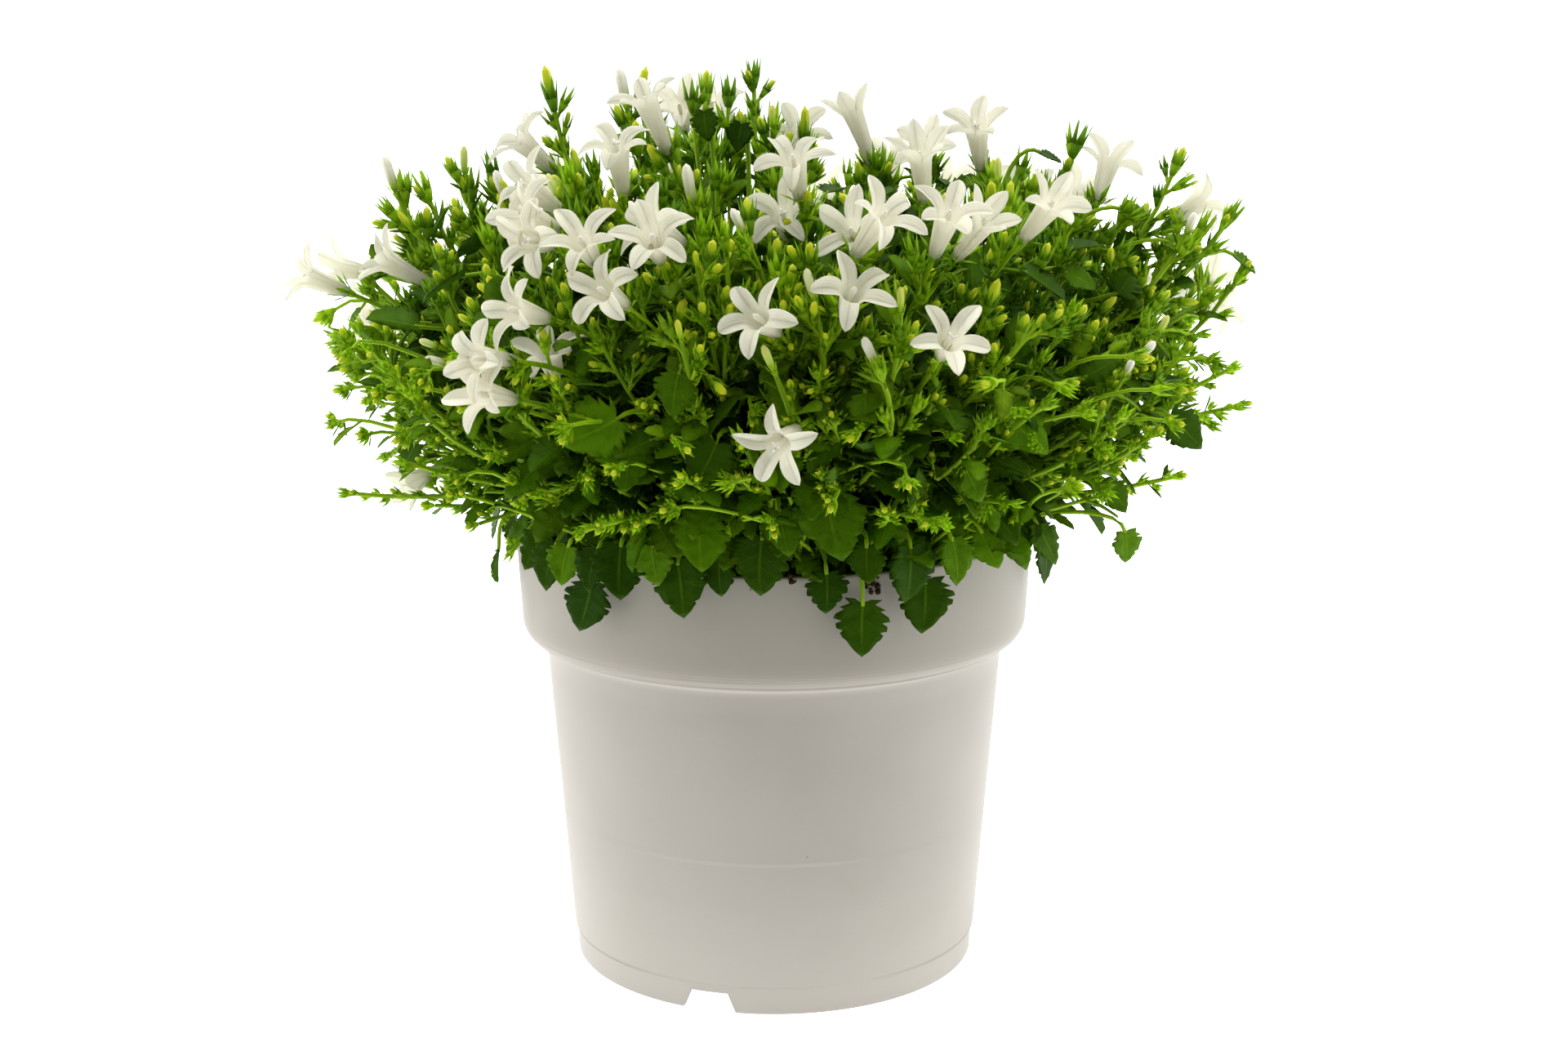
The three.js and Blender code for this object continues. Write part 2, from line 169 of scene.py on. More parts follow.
# Bells that the construction holds: seat, heading and rise, tube length, and how far the lobes spread
CAD_BELLS = [Bell(*row) for row in (
    (-105, -5, 170, -160, 24, 10, 0.75),
    (-83, -15, 173, -159, 30, 12, 0.6),
    (-53, -10, 200, -161, 42, 11, 0.9),
    (-46, -80, 192, -135, 25, 9.5, 1.0),
    (-33, -62, 198, -100, 62, 12, 1.0),
    (-19, -90, 190, -128, 25, 10.5, 1.0),
    (1, -104, 173, -121, 27, 8.5, 0.95),
    (15, -102, 177, -77, 36, 8.5, 1.0),
    (6, -72, 198, -103, 52, 11, 1.0),
    (24, 0, 201, 173, 69, 13, 0.25),
    (34, -93, 188, -74, 47, 12, 0.7),
    (54, -78, 190, -60, 39, 12, 0.6),
    (79, -5, 192, 60, 55, 11, 0.75),
    (35, -103, 168, -79, 31, 8.5, 1.0),
    (-54, -97, 166, -134, 9, 9.5, 1.0),
    (5, -106, 153, -113, -10, 9.5, 0.95),
    (98, 5, 186, 20, 30, 10, 1.0),
    (74, 70, 180, 40, 30, 10, 0.9),
    (15, 98, 183, 95, 28, 10, 1.0),
    (-55, 82, 186, 120, 35, 10, 0.8),
    (-92, 48, 170, 155, 15, 10, 0.95),
)]

# Shoots of the construction that end in a bud tuft: tip, heading and rise
CAD_SPIKES = [
    (-5, 14, 220, 100, 84),
    (111, -4, 187, 0, 62),
    (-103, -18, 122, -170, 8),
    (111, -26, 145, -10, 15),
    (-40, -98, 130, -112, 4),
    (36, -102, 132, -70, 4),
    (-22, 112, 134, 100, 8),
]

# Basal leaves of the construction: the azimuth on the rim and the height of the hanging tip
CAD_RIM_LEAVES = [
    (-127, 96),
    (-108, 103),
    (-92, 109),
    (-73, 94),
    (-60, 98),
    (-18, 100),
    (52, 98),
    (112, 96),
    (166, 100),
]

# More bells, by the pixel of the photograph where each one's seat shows, and its depth
SEEN_BELLS = [Sight(*row) for row in (
    (464, 336, 8, 172, 8, 9, 0.6),
    (686, 257, -62, -141, 32, 10.5, 1.0),
    (675, 300, -84, -116, 11, 9, 1.0),
    (729, 322, -93, -108, 36, 9, 1.0),
    (818, 188, -30, -149, 65, 13, 0.65),
    (838, 160, 30, -98, 43, 9, 0.75),
    (873, 155, 35, -91, 40, 9, 0.9),
    (808, 318, -99, -98, 35, 9, 1.05),
    (766, 374, -101, -122, 26, 9, 1.0),
    (1052, 300, -80, -104, 25, 9, 1.0),
    (1048, 311, -102, -53, 44, 12, 0.95),
    (1202, 209, -10, -107, 59, 12, 0.85),
    (1132, 246, -60, -103, 57, 12, 0.35),
    (1172, 314, -82, -59, 40, 12, 0.25),
    (670, 390, -95, -136, 16, 9, 1.05),
    (629, 489, -96, -128, 14, 9.5, 1.0),
    (684, 470, -76, -112, 58, 8.5, 0.85),
)]

# Bells that show only in part, between the leaves and shoots in front of them
HIDDEN_BELLS = [Sight(*row) for row in (
    (978, 190, 15, -90, 43, 9, 0.9),
    (965, 290, -62, -100, 40, 8, 0.9),
    (1138, 205, 20, 93, 26, 10, 0.9),
    (1258, 250, 18, 85, 10, 9, 0.9),
    (1370, 345, 18, 78, 7, 9, 0.9),
    (1480, 352, 12, 82, 8, 9, 0.9),
    (484, 388, 26, 165, 0, 8, 0.8),
    (549, 572, -4, -140, -13, 9, 0.2),
)]

# Peat on the lip and the collar: the pixel of its middle, how far it spreads in pixels, and how many crumbs
STRAY_SOIL = [
    (970, 708, 4, 7),
    (1075, 720, 10, 16),
    (1066, 706, 5, 5),
]

# Bells on the sides and the back, which the photograph doesn't show
BACK_BELLS = [Bell(*row) for row in (
    (108, 32, 160, 20, 15, 9.5, 1.0),
    (52, 96, 166, 62, 20, 9.5, 1.0),
    (-16, 106, 168, 100, 22, 9.5, 0.9),
    (-74, 78, 166, 135, 20, 9.5, 1.0),
    (-94, 58, 146, 150, 12, 10, 0.95),
    (30, 70, 190, 75, 40, 11, 0.8),
    (-28, 66, 190, 115, 45, 11, 0.9),
    (74, 40, 184, 35, 40, 10.5, 0.9),
    (-76, 48, 174, 150, 30, 10.5, 1.0),
    (96, 60, 158, 35, 12, 9.5, 1.0),
    (2, 92, 150, 85, 8, 9, 1.0),
    (44, 84, 184, 55, 34, 10, 0.6),
    (-42, 92, 150, 115, 2, 9.5, 1.0),
    (76, 66, 140, 42, -4, 9, 1.0),
    (26, 96, 156, 70, 8, 9.5, 0.95),
    (-58, 62, 182, 130, 42, 10, 0.8),
    (4, 82, 187, 92, 50, 10, 0.9),
    (54, 64, 184, 50, 44, 10.5, 0.9),
    (-62, 62, 132, 138, -8, 9, 1.0),
)]

# Spikes that stand out of the dome's outline, by the pixel of each one's tip
SEEN_SPIKES = [Spike(*row) for row in (
    (672, 100, -8, 170, 80),
    (845, 102, 10, 120, 80),
    (866, 94, 20, 60, 84),
    (893, 96, 6, -60, 84),
    (515, 212, -6, -175, 74),
    (568, 215, 0, -170, 82),
    (1325, 157, 4, 0, 74),
    (1447, 182, 0, 0, 72),
    (1254, 184, 8, 30, 80),
    (1530, 318, 0, 0, 60),
    (1528, 440, -14, -5, 30),
    (1462, 578, -20, -8, 16),
    (392, 398, -6, 178, 34),
    (398, 420, 8, 176, 22),
    (432, 470, -12, -176, 20),
    (505, 618, -16, -172, 4),
    (560, 650, -30, -160, -14),
    (612, 696, -34, -155, -50),
    (720, 185, -20, -150, 76),
    (790, 130, -6, 150, 82),
    (950, 130, 16, 40, 80),
    (985, 150, 0, -90, 78),
    (1090, 185, 6, 10, 78),
    (1240, 215, -20, -20, 76),
    (1385, 240, -10, -10, 70),
    (1480, 262, -6, 0, 66),
    (600, 190, 4, 170, 80),
    (485, 260, -4, 178, 66),
    (440, 330, -16, -175, 46),
)]

# Tall buds, by the pixels of foot and tip; ripeness goes from 0, yellow green, to 1, white
SEEN_BUDS = [Bud(*row) for row in (
    (485, 235, 470, 190, -10, 0.95),
    (569, 214, 568, 178, 0, 0.45),
    (620, 246, 606, 208, -20, 0.9),
    (686, 247, 670, 212, -55, 0.5),
    (769, 136, 758, 82, -10, 0.95),
    (849, 254, 840, 200, -62, 0.85),
    (912, 287, 896, 255, -86, 0.85),
    (889, 298, 888, 270, -92, 0.3),
    (946, 158, 946, 128, 0, 0.35),
    (878, 229, 878, 209, -60, 0.15),
    (854, 327, 851, 307, -98, 0.15),
    (991, 320, 990, 299, -98, 0.15),
    (955, 343, 953, 325, -100, 0.15),
    (997, 368, 987, 328, -103, 0.6),
    (1103, 383, 1103, 351, -104, 0.35),
    (834, 416, 829, 391, -105, 0.25),
    (1222, 225, 1222, 192, -30, 0.4),
    (1306, 274, 1307, 228, -40, 0.9),
    (1452, 287, 1464, 260, -12, 0.9),
    (1393, 441, 1415, 418, -52, 0.9),
    (1377, 461, 1388, 439, -60, 0.85),
    (1419, 409, 1431, 386, -46, 0.4),
    (537, 425, 513, 416, -60, 0.5),
    (551, 446, 520, 438, -62, 0.75),
    (948, 455, 934, 422, -107, 0.4),
    (1074, 449, 1057, 412, -106, 0.85),
    (604, 362, 584, 347, -76, 0.2),
    (1268, 400, 1280, 384, -84, 0.15),
    (690, 228, 676, 214, -58, 0.3),
)]

# Large leaves, by the pixel of the blade's middle: size in millimetres, and how far the tip turns
# from straight down, in degrees, to the right where it is positive
SEEN_BLADES = [Blade(*row) for row in (
    (1016, 640, 15, 3, -84),
    (1000, 606, 10, -5, -86),
    (855, 661, 12, -4, -80),
    (958, 649, 10, 8, -82),
    (757, 697, 12, 5, -66),
    (724, 694, 10, -10, -63),
    (690, 690, 9, -12, -56),
    (1014, 724, 9, 4, -69),
    (1116, 700, 12.5, 0, -66),
    (1172, 685, 10, 6, -62),
    (1210, 672, 9, 12, -56),
    (880, 706, 8, 0, -68),
    (800, 690, 9, 12, -67),
    (1060, 690, 8, -8, -72),
    (728, 530, 13, -58, -96),
    (868, 566, 10, -20, -96),
    (825, 480, 9, -12, -104),
    (1247, 524, 15, 40, -78),
    (1450, 528, 11, 35, -44),
    (1380, 668, 7.5, 2, -40),
    (1281, 664, 10.5, 14, -44),
    (1367, 607, 8, 28, -46),
    (1062, 500, 8, 0, -100),
    (1100, 545, 10, 10, -92),
    (770, 570, 10, 8, -88),
    (862, 152, 7.2, 12, -14),
    (905, 166, 6.8, -8, -16),
    (500, 560, 8.5, -24, -40),
    (1190, 590, 9, 25, -80),
    (640, 590, 9, -30, -70),
    (1286, 191, 6, 65, 0),
    (1387, 258, 6.5, 80, -10),
    (1450, 302, 9.5, 68, -10),
    (1378, 304, 8.5, -70, -8),
    (1325, 270, 6, 75, -14),
    (1524, 321, 7, 40, 0),
    (1322, 342, 8, 60, -42),
    (1244, 252, 6, 70, -34),
    (656, 671, 10, -20, -44),
    (671, 690, 10.5, -6, -52),
    (1245, 668, 10.5, 20, -50),
    (1228, 640, 11, 30, -56),
    (633, 656, 9.5, -12, -20),
)]


def mix(start, end, share):
    return start + (end - start) * share


def clamped(value):
    return min(1.0, max(0.0, value))


def around(angle, radius=1, height=0):
    """The point at an angle round Z, in radians."""
    return Vector((radius * cos(angle), radius * sin(angle), height))


def polar(azimuth, radius, height):
    """The point at an angle round Z, in degrees."""
    return around(radians(azimuth), radius, height)


def direction(heading, rise):
    return polar(heading, cos(radians(rise)), sin(radians(rise)))


def bearing(point):
    """A point's angle round Z, in degrees."""
    return degrees(atan2(point.y, point.x))


def frame_along(along, side):
    """The turn that brings +Z along a direction and +X to a side of it."""
    return Matrix((side, along.cross(side), along)).transposed()


def spread_round(count):
    """Angles round Z, in degrees, spread evenly by the golden angle, each with its share of the count."""
    for number in range(count):
        yield degrees(number * GOLDEN_ANGLE), (number + 0.5) / count


def seen_at(column, row, depth):
    """The point with that Y, in millimetres, which the photograph shows at a pixel."""
    forward = Vector((0, cos(CAMERA_PITCH), -sin(CAMERA_PITCH)))
    upward = Vector((0, sin(CAMERA_PITCH), cos(CAMERA_PITCH)))
    ray = forward * FOCAL_PIXELS - upward * (row - PICTURE_HEIGHT / 2)
    ray.x += column - PICTURE_WIDTH / 2
    return CAMERA_PLACE + ray * ((depth - CAMERA_PLACE.y) / ray.y)


def place_of(seen):
    """Where something stands that a table gives by its pixel and depth."""
    return seen_at(seen.column, seen.row, seen.depth)


def facing_of(thing):
    """The way a bell or a spike points."""
    return direction(thing.heading, thing.rise)


class Wire:
    """An output socket of a node tree, which Python's operators work on."""

    def __init__(self, wiring, socket):
        self.wiring = wiring
        self.socket = socket

    def math(self, operation, *operands):
        return self.wiring.out("ShaderNodeMath", dict(enumerate(operands)), operation=operation)

    def __add__(self, other):
        return self.math("ADD", self, other)

    def __sub__(self, other):
        return self.math("SUBTRACT", self, other)

    def __rsub__(self, other):
        return self.math("SUBTRACT", other, self)

    def __mul__(self, other):
        return self.math("MULTIPLY", self, other)

    def __abs__(self):
        return self.math("ABSOLUTE", self)

    __radd__ = __add__
    __rmul__ = __mul__

    def sine(self):
        return self.math("SINE", self)

    def between(self, low, high):
        """Rises smoothly from 0 at low to 1 at high, or falls where low is the greater."""
        values = {"Value": self, "From Min": low, "From Max": high}
        return self.wiring.out("ShaderNodeMapRange", values, interpolation_type="SMOOTHSTEP")

    def band(self, middle, start, full, fading, end):
        """Rises from 0 to 1 and falls back to 0, at four distances from a middle."""
        return self.between(middle + start, middle + full) * self.between(middle + end, middle + fading)


class Wiring:
    """Builds a node tree from node types, what their sockets hold, and their settings."""

    def __init__(self, tree):
        self.tree = tree

    def node(self, kind, values=None, **settings):
        node = self.tree.nodes.new(kind)
        for name, setting in settings.items():
            setattr(node, name, setting)
        sockets = {socket.identifier: socket for socket in node.inputs}
        for name, value in (values or {}).items():
            socket = sockets.get(name) or node.inputs[name]
            if isinstance(value, Wire):
                self.tree.links.new(value.socket, socket)
            else:
                socket.default_value = value
        return node

    def out(self, kind, values=None, output=0, **settings):
        """A new node's output socket, by its number, name or identifier."""
        outputs = self.node(kind, values, **settings).outputs
        by_identifier = {socket.identifier: socket for socket in outputs}
        return Wire(self, by_identifier.get(output) or outputs[output])

    def parted(self, vector):
        """The X, Y and Z of a vector."""
        return [Wire(self, socket) for socket in self.node("ShaderNodeSeparateXYZ", {0: vector}).outputs]

    def uv(self):
        """The places across and along a surface, from its UV map."""
        return self.parted(self.out("ShaderNodeUVMap", uv_map="UVMap"))[:2]

    def attribute(self, name):
        return self.out("ShaderNodeAttribute", output="Fac", attribute_name=name)

    def blend(self, factor, first, second):
        """Mixes two colours, each a wire or three numbers."""
        colours = [c if isinstance(c, Wire) else (*c, 1) for c in (first, second)]
        values = {"Factor_Float": factor, "A_Color": colours[0], "B_Color": colours[1]}
        return self.out("ShaderNodeMix", values, "Result_Color", data_type="RGBA")

    def noise(self, place, scale, detail=3.0):
        return self.out("ShaderNodeTexNoise", {"Vector": place, "Scale": scale, "Detail": detail})

    def stretched(self, place, scale):
        return self.out("ShaderNodeVectorMath", {0: place, 1: scale}, operation="MULTIPLY")

    def surface(self, colour, roughness, relief, strength, depth, others):
        """A shader with a relief of that depth in millimetres, and other values for its sockets."""
        values = {"Height": relief, "Strength": strength, "Distance": depth * MM}
        bump = self.out("ShaderNodeBump", values)
        values = {"Base Color": colour, "Roughness": roughness, "Normal": bump} | others
        return self.out("ShaderNodeBsdfPrincipled", values)

    def finish(self, surface, glow=None, share=0):
        """Ends a material; a thin part glows with the light behind it."""
        if glow:
            light = self.out("ShaderNodeBsdfTranslucent", {"Color": (*glow, 1)})
            surface = self.out("ShaderNodeMixShader", {"Fac": share, 1: surface, 2: light})
        self.node("ShaderNodeOutputMaterial", {"Surface": surface})


class Tree(Wiring):
    """A Geometry Nodes tree with named inputs, which is run on an object and leaves a plain mesh."""

    def __init__(self, name, inputs, output):
        super().__init__(bpy.data.node_groups.new(name, "GeometryNodeTree"))
        self.identifiers = {}
        for label, kind in inputs.items():
            kind = "NodeSocket" + kind
            socket = self.tree.interface.new_socket(label, in_out="INPUT", socket_type=kind)
            self.identifiers[label] = socket.identifier
        self.tree.interface.new_socket(output, in_out="OUTPUT", socket_type="NodeSocketGeometry")
        entry = self.node("NodeGroupInput")
        self.given = {label: Wire(self, entry.outputs[label]) for label in inputs}

    def named(self, name, kind):
        return self.out("GeometryNodeInputNamedAttribute", {"Name": name}, data_type=kind)

    def is_equal(self, wire, number):
        values = {"A_INT": wire, "B_INT": number}
        return self.out("FunctionNodeCompare", values, data_type="INT", operation="EQUAL")

    def on_points(self, points, label, turn, size):
        """Instances of the object that an input holds, on points."""
        part = self.out("GeometryNodeObjectInfo", {"Object": self.given[label]}, "Geometry")
        values = {"Points": points, "Instance": part, "Rotation": turn, "Scale": size}
        return self.out("GeometryNodeInstanceOnPoints", values)

    def joined(self, parts):
        """Joins geometries and makes their instances real."""
        joint = self.node("GeometryNodeJoinGeometry")
        for part in parts:
            self.tree.links.new(part.socket, joint.inputs[0])
        return self.out("GeometryNodeRealizeInstances", {"Geometry": Wire(self, joint.outputs[0])})

    def run(self, thing, values):
        modifier = thing.modifiers.new(self.tree.name, "NODES")
        modifier.node_group = self.tree
        for label, value in values.items():
            modifier[self.identifiers[label]] = value
        return baked(thing)


# Materials

def leaf_material(w, place, colours):
    across, along = w.uv()
    side = abs(across - 0.5)
    midrib = side.between(0.035, 0.01) * along.between(1.05, 0.3)
    side_veins = (along * 30 - side * 22).sine().between(0.93, 1.0) * side.between(0.0, 0.06)
    veins = midrib + side_veins * 0.5
    mottle = w.noise(place, 420)
    broad = w.noise(place, 60, 2)
    # the tone attribute also carries painted shade deep in the plant
    tone = w.attribute("tone") * 0.85 + broad * 0.2
    green = w.blend(tone, colours.leaf_dark, colours.leaf_light)
    green = w.blend(w.attribute("youth"), green, colours.young_green)
    green = w.blend(mottle.between(0.42, 0.75) * 0.35, green, colours.leaf_dark)
    green = w.blend(side.between(0.36, 0.47) * (tone * 0.3 + 0.06), green, colours.vein_green)
    green = w.blend(veins * (tone * 0.25 + 0.1), green, colours.vein_green)
    green = w.blend(w.attribute("under") * 0.4, green, colours.leaf_under)
    relief = mottle * 0.5 - veins * 0.9 + broad
    wax = w.attribute("tone").between(0.75, 0.95) * 0.25
    others = {SPECULAR: 0.04, "Coat Weight": wax, "Coat Roughness": 0.4}
    surface = w.surface(green, mottle * 0.2 + 0.42, relief, 0.6, 0.5, others)
    w.finish(surface, (0.22, 0.5, 0.002), tone * 0.22 + 0.07)


def stem_material(w, place, colours):
    streaks = w.noise(w.stretched(place, (900, 900, 90)), 1)
    tone = streaks * 0.5 + w.attribute("tone") * 0.5
    green = w.blend(tone, colours.stem_dark, colours.stem_light)
    green = w.blend(w.attribute("youth"), green, colours.young_green)
    surface = w.surface(green, streaks * 0.2 + 0.4, streaks, 0.3, 0.2, {SPECULAR: 0.15})
    w.finish(surface, (0.36, 0.6, 0.004), 0.2)


def sepal_material(w, place, colours):
    freckles = w.noise(place, 900)
    green = w.blend(w.attribute("tone"), colours.sepal_dark, colours.sepal_light)
    green = w.blend(freckles.between(0.45, 0.8) * 0.4, green, colours.leaf_light)
    surface = w.surface(green, freckles * 0.2 + 0.4, freckles, 0.3, 0.2, {SPECULAR: 0.15})
    w.finish(surface, (0.56, 0.86, 0.02), 0.4)


def bud_material(w, place, colours):
    """Young buds are yellow green; ripe ones are white with a cream foot."""
    across, along = w.uv()
    ripe = w.attribute("youth").between(0.85, 0.0)
    cloud = w.noise(place, 500)
    ripe_colour = w.blend(along.between(0.0, 0.75), colours.bud_cream, colours.petal_white)
    young_colour = w.blend(along.between(0.1, 0.9), colours.sepal_light, colours.bud_yellow)
    colour = w.blend(ripe, young_colour, ripe_colour)
    colour = w.blend(cloud.between(0.5, 0.8) * 0.2, colour, colours.sepal_light)
    pleats = (across * (tau * LOBES)).sine()
    relief = pleats * 0.5 + cloud * 0.5
    surface = w.surface(colour, cloud * 0.2 + 0.42, relief, 0.4, 0.4, {SPECULAR: 0.3})
    w.finish(surface, (0.7, 0.72, 0.25), 0.15)


def petal_material(w, place, colours):
    """White and thin: clouded, with fine veins along the lobes and a greener throat that also carries
    painted shade.
    """
    across, along = w.uv()
    fine_veins = (across * (tau * VEINS_ROUND)).sine().between(0.3, 1.0)
    cloud = w.noise(place, 260)
    crumple = w.noise(place, 480, 4)
    white = w.blend(cloud.between(0.35, 0.75), colours.petal_white, colours.petal_shade)
    white = w.blend(fine_veins * along.between(0.15, 0.8) * 0.35, white, colours.petal_shade)
    lobe = across * LOBES
    midrib = abs(lobe.math("FRACT", lobe) - 0.5).between(0.05, 0.0)
    white = w.blend(midrib * 0.35, white, colours.petal_shade)
    # the throat: the corolla's cream-green foot, and painted shade deep in the tube
    white = w.blend(along.between(0.35, 0.0) * 0.7, white, colours.petal_throat_and_shade)
    relief = crumple - fine_veins * 0.35 - midrib * 0.6
    surface = w.surface(white, crumple * 0.3 + 0.28, relief, 0.8, 0.8, {})
    w.finish(surface, (1.0, 0.99, 0.9), 0.62)


def peat_material(w, place, colours):
    grain = w.noise(place, 700, 6)
    clod = w.noise(place, 130, 3)
    brown = w.blend(clod, colours.peat_dark, colours.peat_light)
    brown = w.blend(grain.between(0.56, 0.72) * 0.7, brown, colours.peat_fibre)
    w.finish(w.surface(brown, grain * 0.15 + 0.82, grain + clod, 0.9, 1.0, {SPECULAR: 0.1}))


def pot_material(w, place, colours):
    """Grey-white moulded plastic: clouds and flow bands, rubbed rings, dust, and painted light and shade:
    painted highlights where body meets collar and along the mould line, a lighter lower body, a darker
    collar and a painted shadow under the foot's step.
    """
    sideways, _, height = [wire * (1 / MM) for wire in w.parted(place)]
    flow = w.noise(w.stretched(place, (9, 9, 120)), 1, 3)
    fine_flow = w.noise(w.stretched(place, (14, 14, 900)), 1, 3)
    cloud = w.noise(place, 11, 3)
    rings = w.noise(w.stretched(place, (10, 10, 2600)), 1, 1).between(0.42, 0.62)
    rings *= height.band(BODY_HEIGHT, 0.2, 1.0, 2.8, 5.3)
    grime = w.noise(place, 26, 5).between(0.56, 0.85)
    values = {"Vector": place, "Scale": 70, "Randomness": 1.0}
    specks = w.out("ShaderNodeTexVoronoi", values, "Distance", feature="F1")
    speck_mask = specks.between(0.022, 0.012) * w.noise(place, 24, 1).between(0.46, 0.52)
    # painted highlights: a bright line where body meets collar, a lighter band below it, and a light line
    # along the mould line
    seam_painted_highlight = height.band(BODY_HEIGHT, -1.0, -0.3, 0.2, 0.8)
    below_seam_painted_highlight = height.band(BODY_HEIGHT, -8.2, -0.2, 0, 0.3)
    mould_line_painted_highlight = height.band(LINE_HEIGHT, -0.5, -0.1, 0.3, 0.8)
    mould_line_painted_highlight *= sideways.between(30, 8) * sideways.between(-42, -18)
    # painted shadow: a dark line under the step above the foot ring
    foot_step_painted_shadow = height.band(FOOT_HEIGHT, -0.4, 0.2, 0.5, 1.2) * flow.between(0.3, 0.6)
    # darker clouds over the upper body
    upper_body_clouds = height.band(BODY_HEIGHT, -35.2, -17.2, -7.2, -0.2) * cloud.between(0.35, 0.6)
    tone = flow * 0.3 + cloud.between(0.3, 0.7) * 0.7
    layers = (
        (tone, colours.pot_shade),
        # painted light: the lower body lighter towards the foot
        (height.between(45, 8) * 0.22, colours.pot_painted_light),
        # painted shade: the collar darker than the body, from where body meets collar upwards
        (height.between(BODY_HEIGHT, 92) * 0.6, colours.pot_collar_painted_shade),
        (below_seam_painted_highlight * 0.3, colours.pot_painted_light),
        (grime * 0.16 + upper_body_clouds * 0.07, colours.pot_grime_and_shade),
        # rubbed rings under the collar, and the painted shadow under the foot's step
        (rings * 0.45 + foot_step_painted_shadow * 0.6, colours.pot_grime_and_shade),
        # painted highlights where body meets collar and along the mould line
        (seam_painted_highlight * 0.7 + mould_line_painted_highlight * 0.2, colours.pot_painted_light),
        (speck_mask * 0.6, colours.peat_dark),
    )
    colour = colours.pot_light
    for mask, layer in layers:
        colour = w.blend(mask, colour, layer)
    relief = flow * 0.4 + fine_flow * 0.1 + rings * 0.5 + cloud
    roughness = cloud * 0.15 + grime * 0.12 + 0.42
    w.finish(w.surface(colour, roughness, relief, 0.25, 0.2, {SPECULAR: 0.22}))


def floor_material(w, place, glow):
    """A white table that shines near the pot, and gets darker towards the camera, out of the picture."""
    ahead = w.parted(place)[1]
    white = w.blend(ahead.between(-0.1, -0.32), (0.93, 0.93, 0.93), (0.42, 0.42, 0.42))
    shine = w.blend(ahead.between(-0.08, -0.2), (1, 1, 1), (0, 0, 0))
    values = {"Base Color": white, "Roughness": 0.8, "Emission Color": shine, "Emission Strength": glow}
    w.finish(w.out("ShaderNodeBsdfPrincipled", values))


MAKERS = {
    "leaf_green": leaf_material,
    "stem_green": stem_material,
    "sepal_green": sepal_material,
    "bud_cream": bud_material,
    "petal_white": petal_material,
    "peat": peat_material,
    "pot_plastic": pot_material,
}


def new_material(name, make, settings):
    """A material that a function makes from its wiring, its object coordinates and its settings."""
    material = bpy.data.materials.new(name)
    material.use_nodes = True
    material.node_tree.nodes.clear()
    w = Wiring(material.node_tree)
    make(w, w.out("ShaderNodeTexCoord", output="Object"), settings)
    return material


def material_named(name):
    """The look of that name, made when it's first asked for."""
    look = name + "_look"
    if look not in bpy.data.materials:
        new_material(look, MAKERS[name], bpy.context.scene.bellflower_colours)
    return bpy.data.materials[look]


def cover(mesh, name):
    """Gives the mesh a look as its only material."""
    mesh.materials.clear()
    mesh.materials.append(material_named(name))


# Meshes and pieces

def new_object(name, mesh):
    thing = bpy.data.objects.new(name, mesh)
    bpy.context.scene.collection.objects.link(thing)
    return thing


def mesh_of(name, points, faces, scale=MM):
    mesh = bpy.data.meshes.new(name)
    mesh.from_pydata([tuple(Vector(point) * scale) for point in points], [], faces)
    mesh.validate()
    mesh.update()
    return mesh


def turned_outwards(mesh):
    """Merges doubled points and turns every face outwards."""
    shell = bmesh.new()
    shell.from_mesh(mesh)
    bmesh.ops.remove_doubles(shell, verts=shell.verts, dist=1e-7)
    bmesh.ops.recalc_face_normals(shell, faces=shell.faces)
    shell.to_mesh(mesh)
    shell.free()


def set_uv(mesh, places):
    """Gives the mesh a UV map from one pair of numbers for each of its points."""
    layer = mesh.uv_layers.new(name="UVMap")
    corners = np.zeros(len(mesh.loops), dtype=np.int32)
    mesh.loops.foreach_get("vertex_index", corners)
    layer.data.foreach_set("uv", np.array(places, dtype=np.float32)[corners].ravel())


def set_numbers(mesh, name, kind, domain, numbers):
    layer = mesh.attributes.new(name, kind, domain)
    field = "vector" if kind == "FLOAT_VECTOR" else "value"
    flat = np.array(numbers, dtype=np.int32 if kind == "INT" else np.float32).ravel()
    layer.data.foreach_set(field, flat)


class Gathered:
    """The parts of one mesh, gathered: their points, faces and UVs."""

    def __init__(self):
        self.points = []
        self.faces = []
        self.places = []

    def add(self, points, faces, places=()):
        first = len(self.points)
        self.points.extend(points)
        self.faces.extend(tuple(first + corner for corner in face) for face in faces)
        self.places.extend(places)


def ring_faces(rings, sides):
    """The quads between rings of points that follow each other."""
    faces = []
    for low in range(0, (rings - 1) * sides, sides):
        for number in range(sides):
            after = (number + 1) % sides
            faces.append((low + number, low + after, low + sides + after, low + sides + number))
    return faces


def ring_of(centre, along, radius, sides):
    side = along.orthogonal().normalized()
    other = along.cross(side)
    turns = [tau * number / sides for number in range(sides)]
    return [centre + (side * cos(turn) + other * sin(turn)) * radius for turn in turns]


def tube_of(points, radii, sides):
    """A closed tube through points, in their unit."""
    corners = []
    for number, (point, radius) in enumerate(zip(points, radii)):
        ahead = points[min(number + 1, len(points) - 1)]
        behind = points[max(number - 1, 0)]
        corners.extend(ring_of(point, (ahead - behind).normalized(), radius, sides))
    faces = ring_faces(len(points), sides)
    faces.append(tuple(reversed(range(sides))))
    faces.append(tuple(range(len(corners) - sides, len(corners))))
    return corners, faces


def bezier(foot, above, before, end, steps):
    """Points along a curve that leaves its foot towards one place and comes to its end from another."""
    points = []
    for step in range(steps + 1):
        t = step / steps
        s = 1 - t
        points.append(foot * s ** 3 + above * (3 * s * s * t) + before * (3 * s * t * t) + end * t ** 3)
    return points


